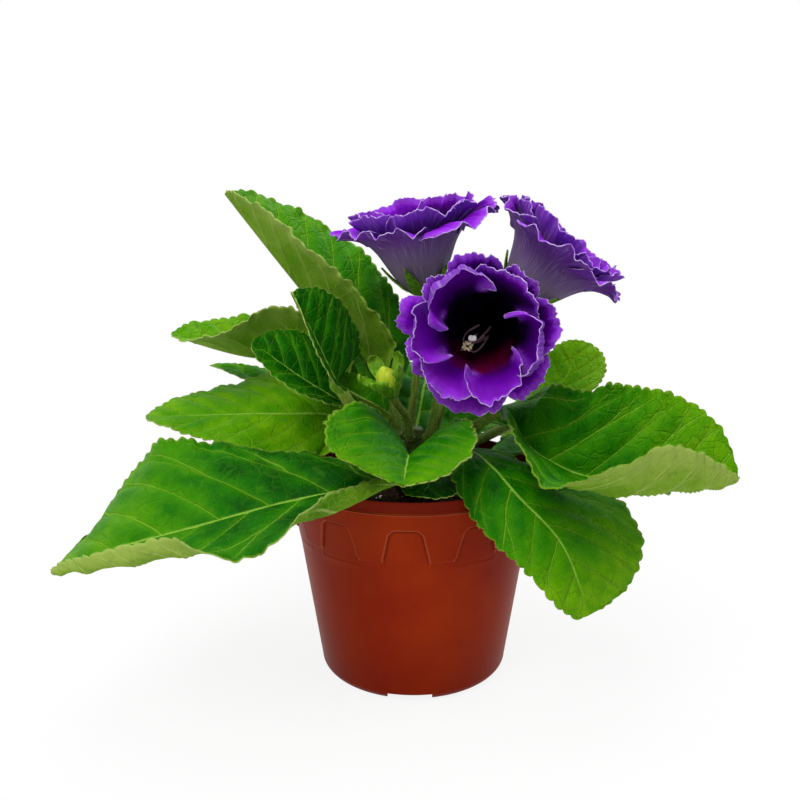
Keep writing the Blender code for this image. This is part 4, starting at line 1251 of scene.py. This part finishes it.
def build_bud():
    stand = flower_matrix(BUD["at"], BUD["axis"])
    dressed(placed(bud_petals(), stand), "bud", "bud")
    calyx = sepals("bud_sepals", BUD_PROFILE, length=14.5, width=3.3, flare=8.0, seed=3)
    dressed(placed(calyx, stand), "calyx", "bud_calyx")
    foot = Vector(BUD["at"]) + Vector(BUD["axis"]).normalized() * SEPAL_FOOT
    flower_stalk("stalk_of_bud", BUD["root"], BUD["via"] + [tuple(foot)],
                 radii=(2.0, 1.6, 1.7), seed=5, node="bud_stalk")


build_bud()


# ---- pot ----------------------------------------------------------------------------------------
POT_COLUMNS = 720


def wall_outside(z):
    """Outside radius of the straight tapered wall, without the collar."""
    widening = RIM_RADIUS - COLLAR_STEP - BASE_RADIUS
    return BASE_RADIUS + widening * (z - BASE_CORNER) / (LEDGE_AT - BASE_CORNER)


def from_niche(bearing):
    """Degrees from the middle of the nearest niche."""
    pitch = 360 / NICHES
    return (bearing - FIRST_NICHE + pitch / 2) % pitch - pitch / 2


def beside_niche(off, z):
    """Millimetres outside (+) or inside (-) a niche's trapezoid, off degrees from its middle at height z."""
    radius = wall_outside(z)
    x = np.abs(np.radians(off)) * radius
    half_width = radians(NICHE_HALF_ANGLE) * radius - (z - COLLAR_FROM) * NICHE_LEAN
    side = (x - half_width) * cos(NICHE_LEAN)
    corner = (x - NICHE_TOP_HALF + z - NICHE_TOP) * 0.7071
    return np.maximum(np.maximum(side, z - NICHE_TOP), np.maximum(corner, COLLAR_FROM - 4 - z))


def underside_rings():
    """The flat underside and the rounded corner up to the wall."""
    inner = CHANNEL_FROM - 3
    flat = BASE_RADIUS - BASE_CORNER
    rings = [(inner + (flat - inner) * t, 0.0) for t in np.linspace(0, 1, 5, endpoint=False)]
    for t in np.radians(np.linspace(0, 90, 10, endpoint=False)):
        rings.append((BASE_RADIUS - BASE_CORNER * (1 - sin(t)), BASE_CORNER * (1 - cos(t))))
    return rings


def wall_rings(off):
    """The wall and the collar, which steps back in each niche and has a fine bead and groove round it."""
    foot = COLLAR_FROM - 1.3 * smooth(np.abs(off), NICHE_HALF_ANGLE, NICHE_HALF_ANGLE + 2.2)
    heights = [*np.linspace(BASE_CORNER, 70, 22, endpoint=False), *np.arange(70, LEDGE_AT - 0.7, 0.42)]
    rings = []
    for z in heights:
        away = beside_niche(off, z)
        step = smooth(away, -0.25, 0.25) * smooth(z - foot, -0.4, 0.4)
        bead = 0.20 * np.exp(-((away - 0.45) / 0.35) ** 2) - 0.12 * np.exp(-((away + 0.55) / 0.40) ** 2)
        on_collar = smooth(z, COLLAR_FROM - 6, COLLAR_FROM - 4)
        rings.append((wall_outside(z) + COLLAR_STEP * step + bead * on_collar, z))
    return rings


def rim_rings():
    """Ledge, lip and the inside of the pot down to its floor."""
    lip = RIM_RADIUS - LIP_SET_BACK
    inside = lip - WALL
    base_inside = BASE_RADIUS - WALL
    ledge = [(RIM_RADIUS - 0.12, LEDGE_AT - 0.6), (RIM_RADIUS, LEDGE_AT - 0.3),
             (RIM_RADIUS - 0.05, LEDGE_AT - 0.05), (RIM_RADIUS - 0.3, LEDGE_AT + 0.1)]
    outer_lip = [(lip + 0.1, LEDGE_AT + 0.15), (lip, LEDGE_AT + 0.35), (lip, LEDGE_AT + 2.5),
                 (lip + 0.1, POT_HEIGHT - 0.9), (lip + 0.05, POT_HEIGHT - 0.35), (lip, POT_HEIGHT - 0.05)]
    inner_lip = [(lip - 0.5, POT_HEIGHT), (inside + 0.1, POT_HEIGHT - 0.2), (inside - 0.1, POT_HEIGHT - 0.6),
                 (inside - 0.3, LEDGE_AT)]
    inner_wall = [(wall_outside(z) - WALL, z) for z in (NICHE_TOP, 70, 40)]
    floor = [(base_inside, FLOOR_AT + 3), (base_inside - 1.2, FLOOR_AT + 0.8), (base_inside - 3, FLOOR_AT)]
    return ledge + outer_lip + inner_lip + inner_wall + floor


def cut_away(pot, name, cutters):
    """Cuts the shapes in a bmesh out of the pot."""
    mesh = bpy.data.meshes.new(name)
    cutters.to_mesh(mesh)
    cutters.free()
    tool = linked(name, mesh)
    cut = pot.modifiers.new(name, "BOOLEAN")
    cut.operation = "DIFFERENCE"
    cut.solver = "MANIFOLD"
    cut.object = tool
    baked_down(pot)
    bpy.data.objects.remove(tool)


def cut_channels(pot):
    """Drain channels across the underside, each with a hole through the floor."""
    channels, holes = bmesh.new(), bmesh.new()
    box = Matrix.Diagonal((CHANNEL_LENGTH * MM, CHANNEL_WIDTH * MM, 2 * CHANNEL_HEIGHT * MM, 1))
    box_at = Matrix.Translation(Vector((CHANNEL_FROM + CHANNEL_LENGTH / 2, 0, 0)) * MM)
    hole_at = Matrix.Translation(Vector((CHANNEL_FROM + 9, 0, CHANNEL_HEIGHT)) * MM)
    for k in range(CHANNELS):
        turn = Matrix.Rotation(radians(CHANNEL_BEARING + 360 * k / CHANNELS), 4, "Z")
        bmesh.ops.create_cube(channels, size=1, matrix=turn @ box_at @ box)
        bmesh.ops.create_cone(holes, cap_ends=True, segments=48, radius1=DRAIN_HOLE_RADIUS * MM,
                              radius2=DRAIN_HOLE_RADIUS * MM, depth=8 * MM, matrix=turn @ hole_at)
    cut_away(pot, "channels", channels)
    cut_away(pot, "drain_holes", holes)


def mark_niches(pot):
    """Tells the finish how far each point of the collar lies from the nearest niche's edge."""
    spots = np.empty(len(pot.data.vertices) * 3)
    pot.data.vertices.foreach_get("co", spots)
    x, y, z = spots.reshape(-1, 3).T / MM
    away = beside_niche(from_niche(np.degrees(np.arctan2(y, x))), z)
    on_collar = (z > COLLAR_FROM - 2) & (z < LEDGE_AT) & (np.hypot(x, y) > wall_outside(z) - 0.5)
    far_off = 9.0
    set_attribute(pot.data, "niche", np.where(on_collar, away, far_off))


def build_pot():
    turn = around(POT_COLUMNS)
    rings = underside_rings() + wall_rings(from_niche(np.degrees(turn))) + rim_rings()
    points = np.concatenate([ring(radius, z, turn) for radius, z in rings])
    pot = make("nursery_pot", points, tube_faces(len(rings), POT_COLUMNS), ["pot"])
    without_doubles(pot, turned_out=True)
    cut_channels(pot)
    mark_niches(pot)
    pot.data.shade_smooth()
    pot.data.set_sharp_from_angle(angle=radians(38))
    dressed(pot, "pot_plastic", "pot")


build_pot()


# ---- what grows or lies on a surface ------------------------------------------------------------
class Growth:
    """A Geometry Nodes tree in the making. A node given to a socket stands for its first live output."""

    def __init__(self, name, inputs):
        self.tree = bpy.data.node_groups.new(name, "GeometryNodeTree")
        interface = self.tree.interface
        interface.new_socket("Geometry", in_out="INPUT", socket_type="NodeSocketGeometry")
        for key, (kind, value) in inputs.items():
            interface.new_socket(key, in_out="INPUT", socket_type="NodeSocket" + kind).default_value = value
        interface.new_socket("Geometry", in_out="OUTPUT", socket_type="NodeSocketGeometry")
        self.given = self.add("NodeGroupInput").outputs
        self.end = self.add("NodeGroupOutput")

    def add(self, kind, settings=None, sockets=None):
        node = self.tree.nodes.new(kind)
        for key, value in (settings or {}).items():
            setattr(node, key, value)
        for key, value in (sockets or {}).items():
            if isinstance(value, bpy.types.Node):
                value = next(socket for socket in value.outputs if socket.enabled)
            if isinstance(value, bpy.types.NodeSocket):
                self.tree.links.new(value, node.inputs[key])
            else:
                node.inputs[key].default_value = value
        return node

    def scattered(self, **chosen):
        """Random points on the given surface."""
        given = self.given
        sockets = {"Mesh": given["Geometry"], "Density": given["Density"], "Seed": given["Seed"], **chosen}
        return self.add("GeometryNodeDistributePointsOnFaces", {"distribute_method": "RANDOM"}, sockets)

    def random(self, kind, low, high, seed):
        return self.add("FunctionNodeRandomValue", {"data_type": kind},
                        {"Min": low, "Max": high, "Seed": seed})

    def finish(self, points, instance, rotation, scale):
        """Sets the instance on the points as real mesh in the given skin, and ends the tree with it."""
        put = self.add("GeometryNodeInstanceOnPoints", None,
                       {"Points": points, "Instance": instance, "Rotation": rotation, "Scale": scale})
        real = self.add("GeometryNodeRealizeInstances", None, {"Geometry": put})
        skin = self.add("GeometryNodeSetMaterial", None, {"Geometry": real, "Material": self.given["Skin"]})
        self.tree.links.new(skin.outputs["Geometry"], self.end.inputs["Geometry"])

    def input_id(self, name):
        """A modifier's input goes by the socket's identifier."""
        return next(item.identifier for item in self.tree.interface.items_tree
                    if getattr(item, "in_out", "") == "INPUT" and item.name == name)

    def grown(self, name, ground, values):
        """A new piece made by the tree on a copy of ground."""
        made = linked(name, ground.data.copy())
        modifier = made.modifiers.new("growth", "NODES")
        modifier.node_group = self.tree
        for key, value in values.items():
            modifier[self.input_id(key)] = value
        return baked_down(made)


def crumb_growth():
    """Irregular crumbs strewn over a surface, half sunk in it."""
    g = Growth("strewn_crumbs", {
        "Density": ("Float", 1.0), "Smallest": ("Float", 0.4), "Largest": ("Float", 1.0),
        "Seed": ("Int", 0), "Skin": ("Material", None)})
    ball = g.add("GeometryNodeMeshIcoSphere", None, {"Radius": 1.0, "Subdivisions": 2})
    noise = g.add("ShaderNodeTexNoise", {"noise_dimensions": "3D"}, {"Scale": 1.3, "Detail": 2.0})
    centred = g.add("ShaderNodeVectorMath", {"operation": "SUBTRACT"},
                    {0: noise.outputs["Color"], 1: (0.5, 0.5, 0.5)})
    dents = g.add("ShaderNodeVectorMath", {"operation": "SCALE"}, {0: centred, "Scale": 1.1})
    lump = g.add("GeometryNodeSetPosition", None, {"Geometry": ball, "Offset": dents})
    size = g.random("FLOAT", g.given["Smallest"], g.given["Largest"], g.given["Seed"])
    stretch = g.random("FLOAT_VECTOR", (0.6, 0.5, 0.45), (1.3, 1.0, 0.8), seed=3)
    turn = g.random("FLOAT_VECTOR", (0, 0, 0), (6.28, 6.28, 6.28), seed=7)
    scale = g.add("ShaderNodeVectorMath", {"operation": "SCALE"}, {0: stretch, "Scale": size})
    g.finish(g.scattered(), lump, turn, scale)
    return g


def hair_growth():
    """Fine hairs that stand on a surface. Fringe keeps them to a blade's margin: 0 everywhere, 1 the edge."""
    g = Growth("soft_hairs", {
        "Density": ("Float", 1.0), "Length": ("Float", 0.001), "Thickness": ("Float", 0.0001),
        "Fringe": ("Float", 0.0), "Seed": ("Int", 0), "Skin": ("Material", None)})
    spot = g.add("GeometryNodeInputNamedAttribute", {"data_type": "FLOAT_VECTOR"}, {"Name": "place"})
    across = g.add("ShaderNodeSeparateXYZ", None, {0: spot}).outputs["Y"]
    outward = g.add("ShaderNodeMath", {"operation": "ABSOLUTE"}, {0: across})
    chosen = g.add("FunctionNodeCompare", {"data_type": "FLOAT", "operation": "GREATER_EQUAL"},
                   {0: outward, 1: g.given["Fringe"]})
    spread = g.scattered(Selection=chosen)
    needle = g.add("GeometryNodeMeshCone", {"fill_type": "NONE"},
                   {"Vertices": 3, "Radius Top": 0.0, "Radius Bottom": 1.0, "Depth": 1.0})
    lean = g.random("FLOAT_VECTOR", (-0.5, -0.5, 0.0), (0.5, 0.5, 3.1), seed=2)
    tilt = g.add("FunctionNodeEulerToRotation", None, {0: lean})
    stand = g.add("FunctionNodeRotateRotation", {"rotation_space": "LOCAL"},
                  {0: spread.outputs["Rotation"], 1: tilt})
    vary = g.random("FLOAT", 0.5, 1.2, seed=4)
    tall = g.add("ShaderNodeMath", {"operation": "MULTIPLY"}, {0: vary, 1: g.given["Length"]})
    size = g.add("ShaderNodeCombineXYZ", None, {0: g.given["Thickness"], 1: g.given["Thickness"], 2: tall})
    g.finish(spread, needle, stand, size)
    return g


# ---- potting mix and crown ----------------------------------------------------------------------
def soil_height(radius, turn, to_wall):
    """Uneven surface of the mix: level beside the wall, and heaped a little round the crown."""
    x = radius * np.cos(turn)
    y = radius * np.sin(turn)
    waves = (0.7 * np.sin(x / 9 + 1) * np.cos(y / 8) + 0.45 * np.sin(x / 3.1 + y / 4.3)
             + 0.3 * np.sin(x / 1.9 - y / 1.6) * np.cos(x / 2.7))
    return SOIL_TOP + 0.3 + (waves * smooth(to_wall, 0.5, 4) + 0.8 * smooth(16 - radius, 0, 7))


def soil_body(columns=150):
    inside = wall_outside(SOIL_TOP) - WALL - GAP
    foot = BASE_RADIUS - WALL - GAP
    turn = around(columns)
    rings = [ring(radius, z, turn) for radius, z in (
        (foot - 3.6, FLOOR_AT + GAP), (foot - 0.2, FLOOR_AT + 3.4), (wall_outside(50) - WALL - GAP, 50),
        (inside - 0.2, SOIL_TOP - 2), (inside - 0.4, SOIL_TOP - 1))]
    for radius in np.linspace(inside - 1, 1.0, 44):
        rings.append(ring(radius, soil_height(radius, turn, inside - radius), turn))
    soil = make("potting_soil", np.concatenate(rings), tube_faces(len(rings), columns), ["soil"])
    return dressed(without_doubles(soil, turned_out=True), "potting_mix", "potting_mix")


def top_of(soil):
    """A loose copy of the mix's open surface, clear of the crown."""
    def hidden(face):
        middle = face.calc_center_median()
        return middle.z < (SOIL_TOP - 0.9) * MM or face.normal.z < 0.4 or middle.xy.length < 8.6 * MM

    bm = bmesh.new()
    bm.from_mesh(soil.data)
    bmesh.ops.delete(bm, geom=[face for face in bm.faces if hidden(face)], context="FACES")
    mesh = bpy.data.meshes.new("soil_top")
    bm.to_mesh(mesh)
    bm.free()
    return linked("soil_top", mesh)


def strew_crumbs(soil):
    """Bark crumbs and perlite grains."""
    ground = top_of(soil)
    growth = crumb_growth()
    # number per square metre, smallest and largest radius, seed and finish
    crumbs_of = {"bark_crumbs": (190000.0, 0.35, 1.5, 5, "crumb"),
                 "perlite_grains": (5000.0, 0.5, 1.4, 9, "perlite")}
    for name, (density, smallest, largest, seed, skin) in crumbs_of.items():
        crumbs = growth.grown(name, ground, {"Density": density, "Smallest": smallest * MM,
                                             "Largest": largest * MM, "Seed": seed, "Skin": finishes[skin]})
        crumbs.data.shade_smooth()
        dressed(crumbs, "potting_mix")
    bpy.data.objects.remove(ground)


def build_crown(rows=60, columns=72):
    """Short knobbly stem, closed by a low point."""
    radius, z = evenly([(r, SOIL_TOP + height) for r, height in CROWN_PROFILE], rows)
    turn = around(columns)
    knob = 1 + 0.035 * np.sin(5 * turn[None] + z * 0.55) + 0.03 * np.sin(z * 1.7 + 2 * np.sin(turn[None]))
    points = ring(radius * knob, z + 0.3 * np.sin(3 * turn), turn).reshape(-1, 3)
    top = [[0, 0, z[-1, 0] + 1.2]]
    last = (rows - 1) * columns
    faces = grid_faces(rows, columns, wrap=True) + [list(range(columns))[::-1]]
    faces += [[last + k, last + (k + 1) % columns, rows * columns] for k in range(columns)]
    dressed(make("crown_stem", np.concatenate([points, top]), faces, ["crown"]), "crown_skin", "crown")


strew_crumbs(soil_body())
build_crown()


# ---- hairs --------------------------------------------------------------------------------------
def grow_hairs():
    """Hair on the stalks and sepals, and a fringe along the leaves."""
    growth = hair_growth()
    blades = [name + "_blade" for name in LEAVES]
    stalks = ["stalk_of_" + name for name in (*FLOWERS, "bud")]
    calyces = ["bud_sepals", *("sepals_" + name for name in FLOWERS)]
    # piece, slot, hairs per square millimetre, their length, and how close to the margin they keep
    coats = [(name, "leaf", 3.0, 0.7, 0.97) for name in blades]
    coats += [(name, "flower_stalk", 2.2, 1.0, 0.0) for name in stalks]
    coats += [(name, "calyx", 1.6, 0.8, 0.0) for name in calyces]
    for seed, (name, slot_name, per_square_mm, length, fringe) in enumerate(coats):
        hairs = growth.grown("hairs_of_" + name, bpy.data.objects[name], {
            "Density": per_square_mm / MM ** 2, "Length": length * MM, "Thickness": 0.045 * MM,
            "Fringe": fringe, "Seed": seed, "Skin": finishes["hair"]})
        dressed(hairs, slot_name)


grow_hairs()


# ---- floor, light and camera, in metres ---------------------------------------------------------
def pale_floor():
    """Takes the object's soft shadow, and fades to plain white away from it."""
    skin = Finish("pale_floor")
    matt = skin.add("ShaderNodeBsdfDiffuse", None, {"Color": (0.82, 0.82, 0.82, 1)})
    white = skin.add("ShaderNodeEmission", None, {"Color": (1, 1, 1, 1), "Strength": 1.0})
    x, y, _ = skin.parts(skin.here())
    away = ((x * x + y * y) ** 0.5).above(0.05, 0.42)
    share = skin.background_rays() * (away * 0.12 + 0.88)
    skin.add_output(skin.add("ShaderNodeMixShader", None, {0: share, 1: matt, 2: white}))
    return skin.material


def build_floor(side=6.0, below=0.0002):
    mesh = bpy.data.meshes.new("floor")
    corners = [(-side, -side, -below), (side, -side, -below), (side, side, -below), (-side, side, -below)]
    mesh.from_pydata(corners, [], [(0, 1, 2, 3)])
    mesh.materials.append(pale_floor())
    linked("floor", mesh)


def build_studio():
    """Soft light from all round, behind which the camera sees plain white."""
    world = bpy.data.worlds.new("studio")
    bpy.context.scene.world = world
    studio = Finish("studio", world)
    soft, bright = (studio.add("ShaderNodeBackground", None, {"Color": (1, 1, 1, 1), "Strength": strength})
                    for strength in (0.50, 1.0))
    seen = studio.add("ShaderNodeMixShader", None, {0: studio.background_rays(), 1: soft, 2: bright})
    studio.add_output(seen, "ShaderNodeOutputWorld")


def softbox(name, spot, aim, size, power):
    light = bpy.data.lights.new(name, "AREA")
    light.shape = "DISK"
    light.size = size
    light.energy = power
    lamp = linked(name, light)
    lamp.location = spot
    lamp.rotation_euler = (Vector(aim) - Vector(spot)).to_track_quat("-Z", "Y").to_euler()


def build_camera():
    """Stands in front of the plant and looks down on it; its shift sets the plant in the frame."""
    lens = bpy.data.cameras.new("camera")
    lens.lens = 40.5
    lens.sensor_width = 36.0
    lens.shift_x = -0.016875
    lens.shift_y = 0.085625
    lens.clip_start = 0.01
    lens.clip_end = 50
    camera = linked("camera", lens)
    camera.location = (0, -0.415912, 0.223989)
    looks_down = 16.6
    camera.rotation_euler = (radians(90 - looks_down), 0, 0)
    bpy.context.scene.camera = camera


build_floor()
build_studio()
softbox("key_softbox", (-0.45, -0.75, 1.15), aim=(0, 0, 0.12), size=0.7, power=9.0)
softbox("overhead_softbox", (0.0, -0.15, 1.5), aim=(0, 0, 0.1), size=1.0, power=9.0)
softbox("back_softbox", (0.35, 0.85, 1.0), aim=(0, 0, 0.12), size=0.6, power=5.0)
build_camera()
bpy.context.scene.view_settings.view_transform = "Standard"
bpy.context.view_layer.update()
